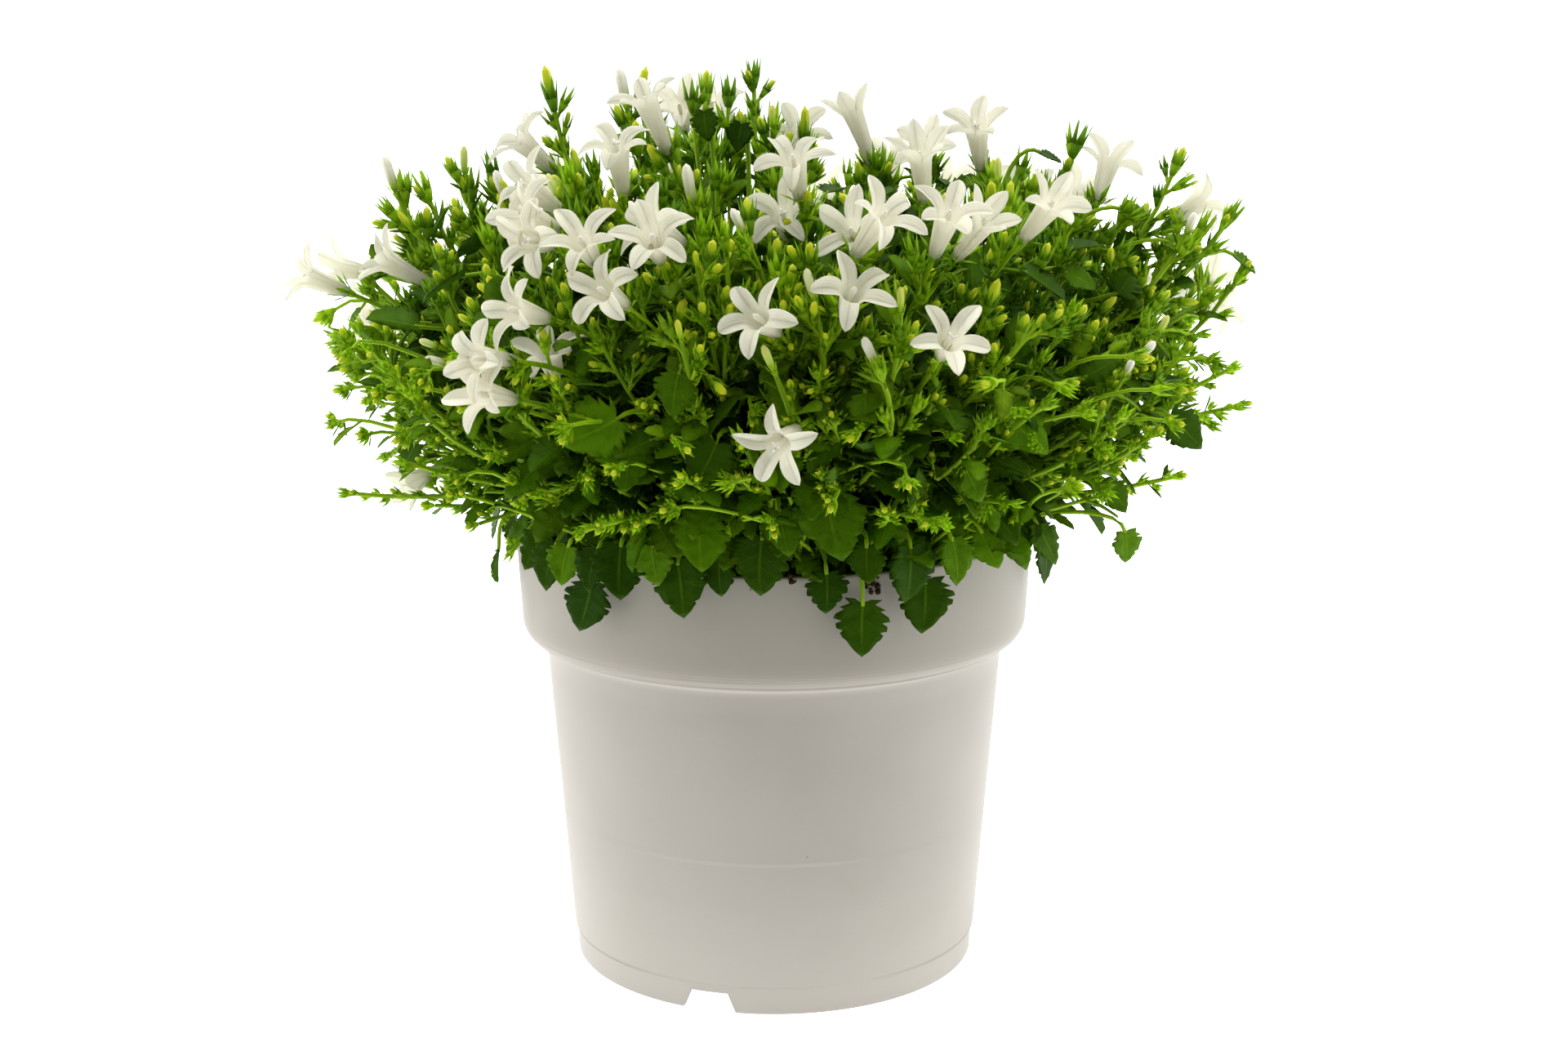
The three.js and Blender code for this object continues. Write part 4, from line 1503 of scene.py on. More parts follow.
def lobe_lines(bell, lobe, mouth, rng):
    """Rows of points across one lobe, from the mouth of the tube to the lobe's tip, and its length."""
    middle = tau * (lobe + 0.5) / LOBES
    outward = around(middle)
    side = Vector((-sin(middle), cos(middle), 0))
    last_turn = mix(0.3, 2.1, bell.spread) + rng.uniform(-0.65, 0.45) * bell.spread
    length = LOBE_LENGTH * rng.uniform(0.9, 1.08)
    sway = rng.uniform(-1.4, 1.4)
    twist = rng.uniform(-0.7, 0.7)
    cupping = rng.uniform(0.45, 1.05)
    spine = outward * mouth + UP * bell.tube
    lines = []
    for row in range(1, LOBE_ROWS + 1):
        share = row / LOBE_ROWS
        turn = mix(0.28, last_turn, share ** 0.65)
        spine = spine + (outward * sin(turn) + UP * cos(turn)) * (length / LOBE_ROWS)
        inward = UP * sin(turn) - outward * cos(turn)
        across = side * cos(twist * share) + inward * sin(twist * share)
        centre = spine + side * (sway * share * share)
        line = []
        for column in range(LOBE_COLUMNS + 1):
            t = 2 * column / LOBE_COLUMNS - 1
            sag = mouth * (1 - cos(t * pi / LOBES)) * (1 - share) ** 2
            cup = cupping * t * t * sin(pi * share ** 0.8)
            crease = -0.3 * (1 - abs(t)) ** 2 * sin(pi * share)
            line.append(centre + across * (t * lobe_width(share)) + inward * (cup + crease) - outward * sag)
        lines.append(line if row < LOBE_ROWS else [centre])
    return lines, length


def bell_shell(bell, rng):
    """Points, faces and UVs of one corolla along +Z: a tube that splits into five spreading lobes."""
    whole = bell.tube + LOBE_LENGTH
    mouth = mix(2.3, 2.75, bell.spread)
    points, faces, places = tube_part(bell, mouth, whole)
    columns = LOBES * LOBE_COLUMNS
    mouth_row = TUBE_ROWS * columns
    for lobe in range(LOBES):
        before = [mouth_row + (lobe * LOBE_COLUMNS + column) % columns for column in range(LOBE_COLUMNS + 1)]
        lines, length = lobe_lines(bell, lobe, mouth, rng)
        for row, line in enumerate(lines, 1):
            now = []
            for column, point in enumerate(line):
                points.append(point)
                now.append(len(points) - 1)
                t = 2 * column / LOBE_COLUMNS - 1 if len(line) > 1 else 0
                height = (bell.tube + length * row / LOBE_ROWS) / whole
                places.append(((lobe + (t + 1) / 2) / LOBES, height))
            if len(now) == 1:
                now = now * (LOBE_COLUMNS + 1)
            for column in range(LOBE_COLUMNS):
                corners = (before[column], before[column + 1], now[column + 1], now[column])
                faces.append(tuple(dict.fromkeys(corners)))
            before = now
    return points, faces, places


def bell_frame(bell):
    """Turns +Z to the bell's facing and moves the origin to its seat, in metres."""
    along = facing_of(bell)
    side = UP.cross(along)
    if side.length < 1e-3:
        side = Vector((1, 0, 0))
    side.normalize()
    return Matrix.Translation(bell_seat(bell) * MM) @ frame_along(along, side).to_4x4()


def bell_piece(name, bells, rng):
    """One piece with the corollas of one or more bells."""
    whole = Gathered()
    for bell in bells:
        points, faces, places = bell_shell(bell, rng)
        turn = bell_frame(bell) @ Matrix.Rotation(rng.uniform(0, tau), 4, "Z")
        whole.add((turn @ (point * MM) for point in points), faces, places)
    mesh = mesh_of(name, whole.points, whole.faces, 1.0)
    set_uv(mesh, whole.places)
    thing = new_object(name, mesh)
    solid = thing.modifiers.new("wall", "SOLIDIFY")
    solid.thickness = 0.22 * MM
    solid.offset = 1
    mesh.shade_smooth()
    cover(mesh, "petal_white")
    return baked(thing)


def style_parts(bell, rng):
    """The thick style in a bell's throat, its stigma lobes, and five thin stamens round it, along +Z."""
    top = bell.tube + 0.6
    rows = [(0.5, 0.3), (0.55 * top, 0.4), (0.85 * top, 0.62), (top, 0.68), (top + 0.5, 0.35)]
    parts = [tube_of([Vector((0, 0, height)) for height, _ in rows], [radius for _, radius in rows], 8)]
    openness = 1.0 if rng.random() < 0.35 else 0.25
    tip = Vector((0, 0, top))
    for number in range(3):
        out = around(tau * number / 3) * openness
        lobe = [tip, tip + out * 0.6 + UP * 0.7, tip + out * 1.3 + UP * 0.9]
        parts.append(tube_of(lobe, [0.4, 0.3, 0.14], 5))
    for number in range(LOBES):
        out = around(tau * (number + rng.uniform(0.3, 0.7)) / LOBES)
        foot = out * 0.8 + UP * 0.8
        bend = out * 1.3 + UP * (0.3 * bell.tube)
        end = out * rng.uniform(1.0, 1.7) + UP * (0.5 * bell.tube)
        parts.append(tube_of([foot, bend, end], [0.25, 0.2, 0.25], 4))
    return parts


def styles_piece(name, bells, rng):
    """One piece with what stands inside the bells."""
    whole = Gathered()
    for bell in bells:
        turn = bell_frame(bell)
        for points, faces in style_parts(bell, rng):
            whole.add((turn @ (point * MM) for point in points), faces)
    mesh = mesh_of(name, whole.points, whole.faces, 1.0)
    turned_outwards(mesh)
    mesh.shade_smooth()
    set_uv(mesh, [(0.5, 0.95)] * len(mesh.vertices))
    cover(mesh, "bud_cream")
    return new_object(name, mesh)


# Pot

def arc(centre_radius, centre_height, size, start, end, steps):
    """Points of a rounded corner in the pot's section, from one angle to another in degrees."""
    points = []
    for step in range(steps + 1):
        angle = radians(mix(start, end, step / steps))
        points.append((centre_radius + size * cos(angle), centre_height + size * sin(angle)))
    return points


def straight(low, high, inset=1.5):
    """Both ends of a straight part of a section, with points near them that keep its shading flat."""
    near = inset / dist(low, high)
    return [tuple(mix(a, b, share) for a, b in zip(low, high)) for share in (0, near, 1 - near, 1)]


def pot_section(pot):
    """The pot's wall from the middle of its underside, up the outside, over the lip and down inside."""
    wall = pot.wall / MM
    rim = pot.rim_radius / MM
    height = pot.height / MM
    line_share = (LINE_HEIGHT - FOOT_HEIGHT) / (BODY_HEIGHT - FOOT_HEIGHT)
    line_radius = mix(BASE_RADIUS, BODY_RADIUS, line_share)
    section = [(0, FOOT_HEIGHT), (FOOT_RADIUS - 2, FOOT_HEIGHT)]
    section += arc(FOOT_RADIUS - 1.6, 0.4, 0.4, 180, 270, 3)
    section += arc(FOOT_RADIUS - 0.6, 0.6, 0.6, 270, 360, 4)
    section += [(FOOT_RADIUS, FOOT_HEIGHT - 0.2), (FOOT_RADIUS + 0.15, FOOT_HEIGHT)]
    section += arc(BASE_RADIUS - 0.35, FOOT_HEIGHT + 0.35, 0.35, 270, 360, 3)
    section += straight((BASE_RADIUS + 0.1, FOOT_HEIGHT + 1), (line_radius, LINE_HEIGHT - 0.5))
    section += [(line_radius + 0.045, LINE_HEIGHT)]
    section += straight((line_radius + 0.03, LINE_HEIGHT + 0.5), (BODY_RADIUS, BODY_HEIGHT - 0.6))
    drop = COLLAR_HEIGHT - BODY_HEIGHT
    reach = COLLAR_RADIUS - BODY_RADIUS
    section += [(BODY_RADIUS + 0.5, BODY_HEIGHT)]
    for step in range(1, 13):
        angle = pi / 2 * step / 12
        section.append((BODY_RADIUS + reach * sin(angle), COLLAR_HEIGHT - drop * cos(angle)))
    section += straight((COLLAR_RADIUS + 0.05, COLLAR_HEIGHT + 0.8), (rim - 0.05, height - 1.4))
    section += arc(rim - 0.55, height - 0.6, 0.6, 0, 90, 5)
    section += arc(rim - wall + 0.5, height - 0.5, 0.5, 90, 180, 4)
    section += [(COLLAR_RADIUS - wall, COLLAR_HEIGHT + wall), (BODY_RADIUS - wall, BODY_HEIGHT + wall)]
    section += [(BASE_RADIUS - wall, FOOT_HEIGHT + wall), (0, FOOT_HEIGHT + wall)]
    return section


def lathe(name, section, sides):
    """A solid of revolution round Z, in millimetres, from a section that starts and ends on the axis."""
    points = []
    for radius, height in section[1:-1]:
        points.extend(polar(360 * number / sides, radius, height) for number in range(sides))
    faces = ring_faces(len(section) - 2, sides)
    first = len(points)
    points += [Vector((0, 0, section[0][1])), Vector((0, 0, section[-1][1]))]
    last = (len(section) - 3) * sides
    for number in range(sides):
        after = (number + 1) % sides
        faces.append((first, after, number))
        faces.append((first + 1, last + number, last + after))
    mesh = mesh_of(name, points, faces)
    turned_outwards(mesh)
    return mesh


def wedge(azimuth, top_width, height):
    """A block that cuts a drain notch through the foot ring."""
    foot = NOTCH_FOOT_WIDTH
    corners = []
    for reach in (FOOT_RADIUS - 6, FOOT_RADIUS + 4):
        for side, level in ((-foot, -1), (foot, -1), (top_width, height), (-top_width, height)):
            corners.append(Matrix.Rotation(radians(azimuth), 3, "Z") @ Vector((reach, side / 2, level)))
    faces = [(3, 2, 1, 0), (4, 5, 6, 7), (0, 1, 5, 4), (1, 2, 6, 5), (2, 3, 7, 6), (3, 0, 4, 7)]
    return corners, faces


def pot_cutter(pot):
    """The drain notches in the foot ring and the holes in the floor, as one mesh."""
    whole = Gathered()
    for azimuth in NOTCH_AZIMUTHS:
        whole.add(*wedge(azimuth, pot.notch_width / MM, pot.notch_height / MM))
    for number in range(HOLES):
        centre = polar(360 / HOLES * (number + 0.5), HOLE_RING, 4)
        whole.add(*tube_of([centre, centre + UP * 7], [HOLE_RADIUS, HOLE_RADIUS], 32))
    mesh = mesh_of("pot_cutter", whole.points, whole.faces)
    turned_outwards(mesh)
    return new_object("pot_cutter", mesh)


# Soil

def soil_section():
    """The soil's section: it fills the pot with a little gap, and rises to its middle."""
    inset = 1.7
    edge = COLLAR_RADIUS - inset + 0.5
    section = [(0, 8.3), (BASE_RADIUS - inset, 8.3)]
    section += [(BODY_RADIUS - inset, 84.8), (COLLAR_RADIUS - inset, 90.4), (edge, 103)]
    rings = 22
    for ring in range(rings + 1):
        share = 1 - ring / rings
        section.append((edge * share, SOIL_TOP - 1.2 * share))
    return section


def roughened(mesh, size, seed):
    """Lifts and sinks the top of the soil by smooth noise."""
    rng = random.Random(seed)
    count = 14
    waves = [(rng.uniform(0.1, 0.9), rng.uniform(0.1, 0.9), rng.uniform(0, 6.28)) for _ in range(count)]
    for vertex in mesh.vertices:
        x, y, z = vertex.co / MM
        if z > SOIL_TOP - 2.5:
            total = sum(sin(a * x + b * y + c) for a, b, c in waves)
            calm = min(1, (63 - hypot(x, y)) / 3)
            vertex.co.z += size * calm * total / count * MM
    mesh.update()


def crumb_mesh(seed):
    """A rough little clod with twenty faces."""
    rng = random.Random(seed)
    clod = bmesh.new()
    bmesh.ops.create_icosphere(clod, subdivisions=1, radius=MM)
    for vertex in clod.verts:
        vertex.co *= rng.uniform(0.65, 1.15)
    mesh = bpy.data.meshes.new("crumb")
    clod.to_mesh(mesh)
    clod.free()
    return mesh


def crumb_tree():
    """Scatters crumbs on the soil's surface, with named inputs and a fixed seed."""
    inputs = {"Surface": "Geometry", "Crumb": "Object", "Per Square Metre": "Float", "Seed": "Int"}
    inputs |= {"Smallest": "Float", "Largest": "Float", "Finish": "Material"}
    w = Tree("scatter", inputs, "Soil")
    surface = w.given["Surface"]
    seed = w.given["Seed"]
    values = {"A": w.parted(w.out("GeometryNodeInputPosition"))[2], "B": (SOIL_TOP - 2.4) * MM}
    is_top = w.out("FunctionNodeCompare", values, operation="GREATER_THAN")
    values = {"Mesh": surface, "Selection": is_top, "Density": w.given["Per Square Metre"], "Seed": seed}
    spots = w.out("GeometryNodeDistributePointsOnFaces", values)
    values = {"Max": (6.28, 6.28, 6.28), "Seed": seed}
    turn = w.out("FunctionNodeRandomValue", values, data_type="FLOAT_VECTOR")
    turn = w.out("FunctionNodeEulerToRotation", {"Euler": turn})
    values = {"Min_001": w.given["Smallest"], "Max_001": w.given["Largest"], "Seed": seed}
    size = w.out("FunctionNodeRandomValue", values, "Value_001", data_type="FLOAT")
    whole = w.joined([surface, w.on_points(spots, "Crumb", turn, size)])
    whole = w.out("GeometryNodeSetMaterial", {"Geometry": whole, "Material": w.given["Finish"]})
    w.node("NodeGroupOutput", {"Soil": whole})
    return w


def stray_soil(rng):
    """Peat that clings to the lip and to the outside of the collar, and a rootlet over the lip."""
    things = []
    for column, row, spread, count in STRAY_SOIL:
        for number in range(count):
            place = seen_at(column + rng.uniform(-1, 1) * spread, row + rng.uniform(-1, 1) * spread, -64)
            size = rng.uniform(0.35, 0.95)
            radius = LIP_RADIUS + 0.3 * size
            height = place.z
            if height >= LIP_HEIGHT - 0.4:
                radius = rng.uniform(LIP_RADIUS - 0.8, LIP_RADIUS)
                height = LIP_HEIGHT + 0.3 * size
            crumb = crumb_mesh(number)
            turn = Matrix.Rotation(rng.uniform(0, 6), 4, "Z") @ Matrix.Scale(size, 4)
            crumb.transform(Matrix.Translation(polar(bearing(place), radius, height) * MM) @ turn)
            things.append(new_object("crumb", crumb))
    over = LIP_HEIGHT + 0.3
    marks = [polar(-93.5, 60, 105.5), polar(-93.2, 63.6, LIP_HEIGHT), polar(-93.5, 65.1, over)]
    line = smooth_line(marks + [polar(-94.5, 65.4, 109)], 4)
    rootlet = mesh_of("rootlet", *tube_of(line, [0.16] * len(line), 4))
    turned_outwards(rootlet)
    things.append(new_object("rootlet", rootlet))
    for thing in things:
        cover(thing.data, "peat")
    return joined_as("stray_soil", things)


# Basal leaves

def rim_leaf_curve(azimuth, seat):
    """The stalk of a leaf that hangs over the rim: out of the soil, over the lip, and down."""
    over = max(LIP_HEIGHT + 5, seat.z + 1)
    marks = [
        polar(azimuth, 53, STEM_FOOT),
        polar(azimuth, 53.6, SOIL_TOP + 4),
        polar(azimuth, 58, over - 1.5),
        polar(azimuth, LIP_RADIUS - 1, over),
        polar(azimuth, HANGING_RADIUS - 1, max(seat.z, LIP_HEIGHT) + 1.5),
        seat - UP * 0.5,
    ]
    return smooth_line(marks, 4)


def big_leaf(name, stalk, seat, hang, face, size, tone, rng):
    """A heart-shaped leaf in full detail with its stalk, as one object."""
    width = size * rng.uniform(1.08, 1.22)
    outline = leaf_outline(size, width, rng.choice((4, 5, 5)), 0.58, 0.1, 0.21, rng)
    columns = (0, 0.3, 0.65, 1)
    fold = rng.uniform(0.05, 0.35)
    blade = blade_mesh(name, outline, size, width, columns, fold, rng.uniform(-0.05, 0.2), 0.4, 0.1)
    turn = frame_along(hang, face.cross(hang).normalized()).to_4x4()
    bend = rng.uniform(-0.16, 0.16) / (size * MM)
    for vertex in blade.vertices:
        vertex.co.x += bend * vertex.co.z ** 2
    blade.transform(Matrix.Translation(seat * MM) @ turn)
    radii = [mix(0.75, 0.5, number / (len(stalk) - 1)) for number in range(len(stalk))]
    stalk_mesh = mesh_of(name + "_stalk", *tube_of(stalk, radii, 6))
    turned_outwards(stalk_mesh)
    stalk_mesh.shade_smooth()
    set_uv(stalk_mesh, [(0.5, 0.5)] * len(stalk_mesh.vertices))
    for mesh, youth, finish in ((blade, 0.15 * tone, "leaf_green"), (stalk_mesh, 0.3, "stem_green")):
        count = len(mesh.vertices)
        set_numbers(mesh, "tone", "FLOAT", "POINT", [tone] * count)
        set_numbers(mesh, "youth", "FLOAT", "POINT", [youth] * count)
        cover(mesh, finish)
    blade.attributes.remove(blade.attributes["finish"])
    return joined_as(name, [new_object(name, blade), new_object(name + "_stalk", stalk_mesh)])


def rim_leaf(name, azimuth, tip_height, rng):
    """A leaf of the construction, which hangs over the rim."""
    length = rng.uniform(11.5, 13.5)
    seat = polar(azimuth, HANGING_RADIUS, tip_height + length)
    out = polar(azimuth, 1, 0)
    beside = polar(azimuth + 90, 1, 0)
    hang = (out * 0.12 + beside * rng.uniform(-0.25, 0.25) - UP).normalized()
    face = (out + beside * rng.uniform(-0.25, 0.25)).normalized()
    stalk = rim_leaf_curve(azimuth, seat)
    return big_leaf(name, stalk, seat, hang, face, length, rng.uniform(0, 0.12), rng)


def seen_leaf(name, blade, rng):
    """A large leaf whose blade's middle shows at a pixel, on a stalk that rises from the soil."""
    middle = place_of(blade)
    outward = Vector((middle.x, middle.y, 0)).normalized()
    down = Vector((sin(radians(blade.tilt)), 0, -cos(radians(blade.tilt))))
    hang = (down + outward * rng.uniform(0.1, 0.5)).normalized()
    chance = Vector((rng.uniform(-0.45, 0.45), 0, rng.uniform(-0.1, 0.5)))
    face = (outward * 0.7 + UP * 0.35 + Vector((0, -0.3, 0)) + chance).normalized()
    seat = middle - hang * (0.42 * blade.size)
    foot = polar(bearing(seat), min(52, hypot(seat.x, seat.y) * 0.75), STEM_FOOT)
    above = Vector((foot.x, foot.y, max(seat.z - 8, 119)))
    stalk = bezier(foot, above, seat - hang * 7 + UP * 2, seat, STEM_STEPS)
    is_dark = blade.row > 690 or blade.row < 200
    tone = rng.uniform(0, 0.15) if is_dark else rng.uniform(0.1, 0.9)
    return big_leaf(name, stalk, seat, hang, face, blade.size, tone, rng)


def back_leaf(name, number, count, rng):
    """A large leaf on the sides or the back, which the photograph doesn't show.

    Every second one hangs over the rim, where there is room beside the construction's own leaves.
    """
    azimuth = mix(-14, 194, (number + rng.uniform(-0.3, 1.3)) / count)
    out = polar(azimuth, 1, 0)
    beside = polar(azimuth + 90, 1, 0) * rng.uniform(-0.5, 0.5)
    size = rng.uniform(8.5, 13)
    has_room = all(abs(azimuth - taken) > 11 for taken, _ in CAD_RIM_LEAVES)
    if number % 2 and has_room:
        hang = (out * 0.15 + beside - UP).normalized()
        seat = polar(azimuth, HANGING_RADIUS, rng.uniform(106, 121))
        stalk = rim_leaf_curve(azimuth, seat)
    else:
        hang = (out * rng.uniform(0.1, 0.6) + beside - UP * 0.9).normalized()
        seat = polar(azimuth, rng.uniform(76, 94), rng.uniform(124, 152))
        foot = polar(azimuth, rng.uniform(42, 52), STEM_FOOT)
        above = Vector((foot.x, foot.y, seat.z - 5))
        stalk = bezier(foot, above, seat - hang * 7 + UP * 2, seat, STEM_STEPS)
    face = (out + UP * 0.3 + beside * 0.6).normalized()
    return big_leaf(name, stalk, seat, hang, face, size, rng.uniform(0, 0.6), rng)


# Settings

def colour_property(name, description, default):
    return FloatVectorProperty(
        name=name, description=description, default=default, subtype="COLOR", size=3, min=0, max=1
    )


def length_property(name, description, millimetres):
    return FloatProperty(name=name, description=description, default=millimetres * MM, unit="LENGTH")


def amount_property(name, description, default):
    return FloatProperty(name=name, description=description, default=default, min=0)


def count_property(name, description, default, least=1):
    return IntProperty(name=name, description=description, default=default, min=least)


class BellflowerPot(bpy.types.PropertyGroup):
    """Sizes of the pot."""

    rim_radius: length_property("Rim radius", "Radius of the lip", LIP_RADIUS)
    height: length_property("Height", "From the foot to the lip", LIP_HEIGHT)
    wall: length_property("Wall", "Thickness of the wall", 1.3)
    notch_width: length_property("Notch width", "Width of a drain notch at its top", 9.5)
    notch_height: length_property("Notch height", "Height of a drain notch", 5)
    sides: count_property("Sides", "Steps round the pot", 192, 24)


class BellflowerSoil(bpy.types.PropertyGroup):
    """How crumbly the soil is."""

    relief: amount_property("Relief", "Unevenness of the top, in mm", 2.2)
    crumbs: amount_property("Crumbs", "Crumbs on each square metre", 90000)
    seed: count_property("Seed", "Seed of the crumbs", 4, 0)


class BellflowerFoliage(bpy.types.PropertyGroup):
    """How much grows in the pot."""

    shoots: count_property("Shoots", "Shoots that fill the dome", 250)
    low_leaves: count_property("Low leaves", "Leaves low in the plant", 120)
    low_sprigs: count_property("Low sprigs", "Twigs low in the plant", 170)
    inner_leaves: count_property("Inner leaves", "Leaves inside the dome", 336)
    back_leaves: count_property("Back leaves", "Large leaves on the sides and the back", 32)
    sectors: count_property("Sectors", "Pieces that the foliage is parted in", 8)
    seed: count_property("Seed", "Seed of the growth", 7, 0)


class BellflowerColours(bpy.types.PropertyGroup):
    """Colours of the plant, its soil and its pot."""

    leaf_dark: colour_property("Dark leaf", "Old leaves", (0.006, 0.026, 0.0003))
    leaf_light: colour_property("Light leaf", "Leaves in the light", (0.098, 0.246, 0.0008))
    leaf_under: colour_property("Underside", "Undersides of the leaves", (0.11, 0.23, 0.03))
    vein_green: colour_property("Veins", "Midribs, side veins and edges", (0.24, 0.46, 0.01))
    young_green: colour_property("Young green", "Young leaves and twigs", (0.38, 0.64, 0.01))
    stem_dark: colour_property("Dark stem", "Shaded side of the stems", (0.056, 0.15, 0.0012))
    stem_light: colour_property("Light stem", "Streaks on the stems", (0.38, 0.6, 0.008))
    sepal_dark: colour_property("Dark sepal", "Older sepals", (0.024, 0.094, 0.0006))
    sepal_light: colour_property("Light sepal", "Youngest sepals", (0.52, 0.8, 0.015))
    bud_yellow: colour_property("Young bud", "Tips of the young buds", (0.66, 0.72, 0.01))
    bud_cream: colour_property("Cream", "Feet of the ripe buds", (0.5, 0.52, 0.13))
    petal_white: colour_property("Petal", "Petals", (0.985, 0.955, 0.86))
    petal_shade: colour_property("Petal shade", "Thinner places of the petals", (0.88, 0.855, 0.71))
    # cream-green throat colour that also holds painted shade
    petal_throat_and_shade: colour_property("Throat", "Feet of the petals", (0.82, 0.83, 0.56))
    peat_dark: colour_property("Dark peat", "Moist peat", (0.018, 0.009, 0.005))
    peat_light: colour_property("Light peat", "Dry peat", (0.06, 0.033, 0.018))
    peat_fibre: colour_property("Fibre", "Fibres in the peat", (0.14, 0.08, 0.04))
    pot_light: colour_property("Pot", "Plastic of the pot", (0.4, 0.375, 0.338))
    pot_shade: colour_property("Pot clouds", "Darker clouds in the plastic", (0.35, 0.326, 0.29))
    # painted shade for the collar
    pot_collar_painted_shade: colour_property("Pot collar", "Painted shade on the collar", (0.303, 0.284, 0.236))
    # painted light on the pot
    pot_painted_light: colour_property("Pot painted light", "Painted light low on the body, below the collar and along the mould line", (0.53, 0.51, 0.465))
    # real rubbed and dusty marks, and painted shade
    pot_grime_and_shade: colour_property("Pot marks", "Rubbed and dusty places, and painted shadow under the foot's step", (0.2, 0.168, 0.125))


class BellflowerStage(bpy.types.PropertyGroup):
    """Light and floor."""

    front_light: amount_property("Front light", "Brightness in front", 0.22)
    side_light: amount_property("Side light", "Brightness at the sides", 0.3)
    back_light: amount_property("Back light", "Brightness behind", 1.35)
    top_light: amount_property("Top light", "Brightness added above", 1.05)
    floor_size: length_property("Floor", "Side of the floor", 8000)
    floor_glow: amount_property("Floor glow", "Shine of the floor near the pot", 0.9)


SETTINGS = {
    "bellflower_pot": BellflowerPot,
    "bellflower_soil": BellflowerSoil,
    "bellflower_foliage": BellflowerFoliage,
    "bellflower_colours": BellflowerColours,
    "bellflower_stage": BellflowerStage,
}


# Operators

class BELLFLOWER_OT_pot(bpy.types.Operator):
    """Makes the moulded pot with its collar, foot ring, drain notches and holes"""

    bl_idname = "bellflower.pot"
    bl_label = "Make pot"

    def execute(self, context):
        pot = context.scene.bellflower_pot
        thing = new_object("nursery_pot", lathe("nursery_pot", pot_section(pot), pot.sides))
        cutter = pot_cutter(pot)
        cut = thing.modifiers.new("drains", "BOOLEAN")
        cut.operation = "DIFFERENCE"
        cut.object = cutter
        baked(thing)
        bpy.data.objects.remove(cutter)
        thing.data.shade_smooth()
        thing.data.set_sharp_from_angle(angle=radians(40))
        cover(thing.data, "pot_plastic")
        carried(thing, "pot_plastic", "pot")
        return {"FINISHED"}


class BELLFLOWER_OT_soil(bpy.types.Operator):
    """Makes the peat with its crumbs"""

    bl_idname = "bellflower.soil"
    bl_label = "Make soil"

    def execute(self, context):
        soil = context.scene.bellflower_soil
        mesh = lathe("peat_soil", soil_section(), 72)
        roughened(mesh, soil.relief, soil.seed)
        thing = new_object("peat_soil", mesh)
        crumb = new_object("crumb", crumb_mesh(soil.seed))
        values = {"Crumb": crumb, "Per Square Metre": soil.crumbs, "Seed": soil.seed}
        values |= {"Smallest": 0.35, "Largest": 1.5, "Finish": material_named("peat")}
        crumb_tree().run(thing, values)
        bpy.data.objects.remove(crumb)
        carried(thing, "peat", "potting_soil")
        carried(stray_soil(random.Random(soil.seed)), "peat")
        return {"FINISHED"}


class BELLFLOWER_OT_basal_leaves(bpy.types.Operator):
    """Makes the large heart-shaped leaves that hang over the rim and stand low in the plant"""

    bl_idname = "bellflower.basal_leaves"
    bl_label = "Make basal leaves"

    def execute(self, context):
        foliage = context.scene.bellflower_foliage
        rng = random.Random(foliage.seed)
        for number, (azimuth, tip_height) in enumerate(CAD_RIM_LEAVES, 1):
            leaf = rim_leaf(f"basal_leaf_{number:02d}", azimuth, tip_height, rng)
            carried(leaf, "leaf_green", f"rim_leaf_{number:02d}")
        leaves = []
        for number, blade in enumerate(SEEN_BLADES):
            leaves.append(seen_leaf(f"large_leaf_{number:02d}", blade, rng))
        for number in range(foliage.back_leaves):
            leaves.append(back_leaf(f"back_leaf_{number:02d}", number, foliage.back_leaves, rng))
        carried(joined_as("large_leaves", leaves), "leaf_green")
        return {"FINISHED"}


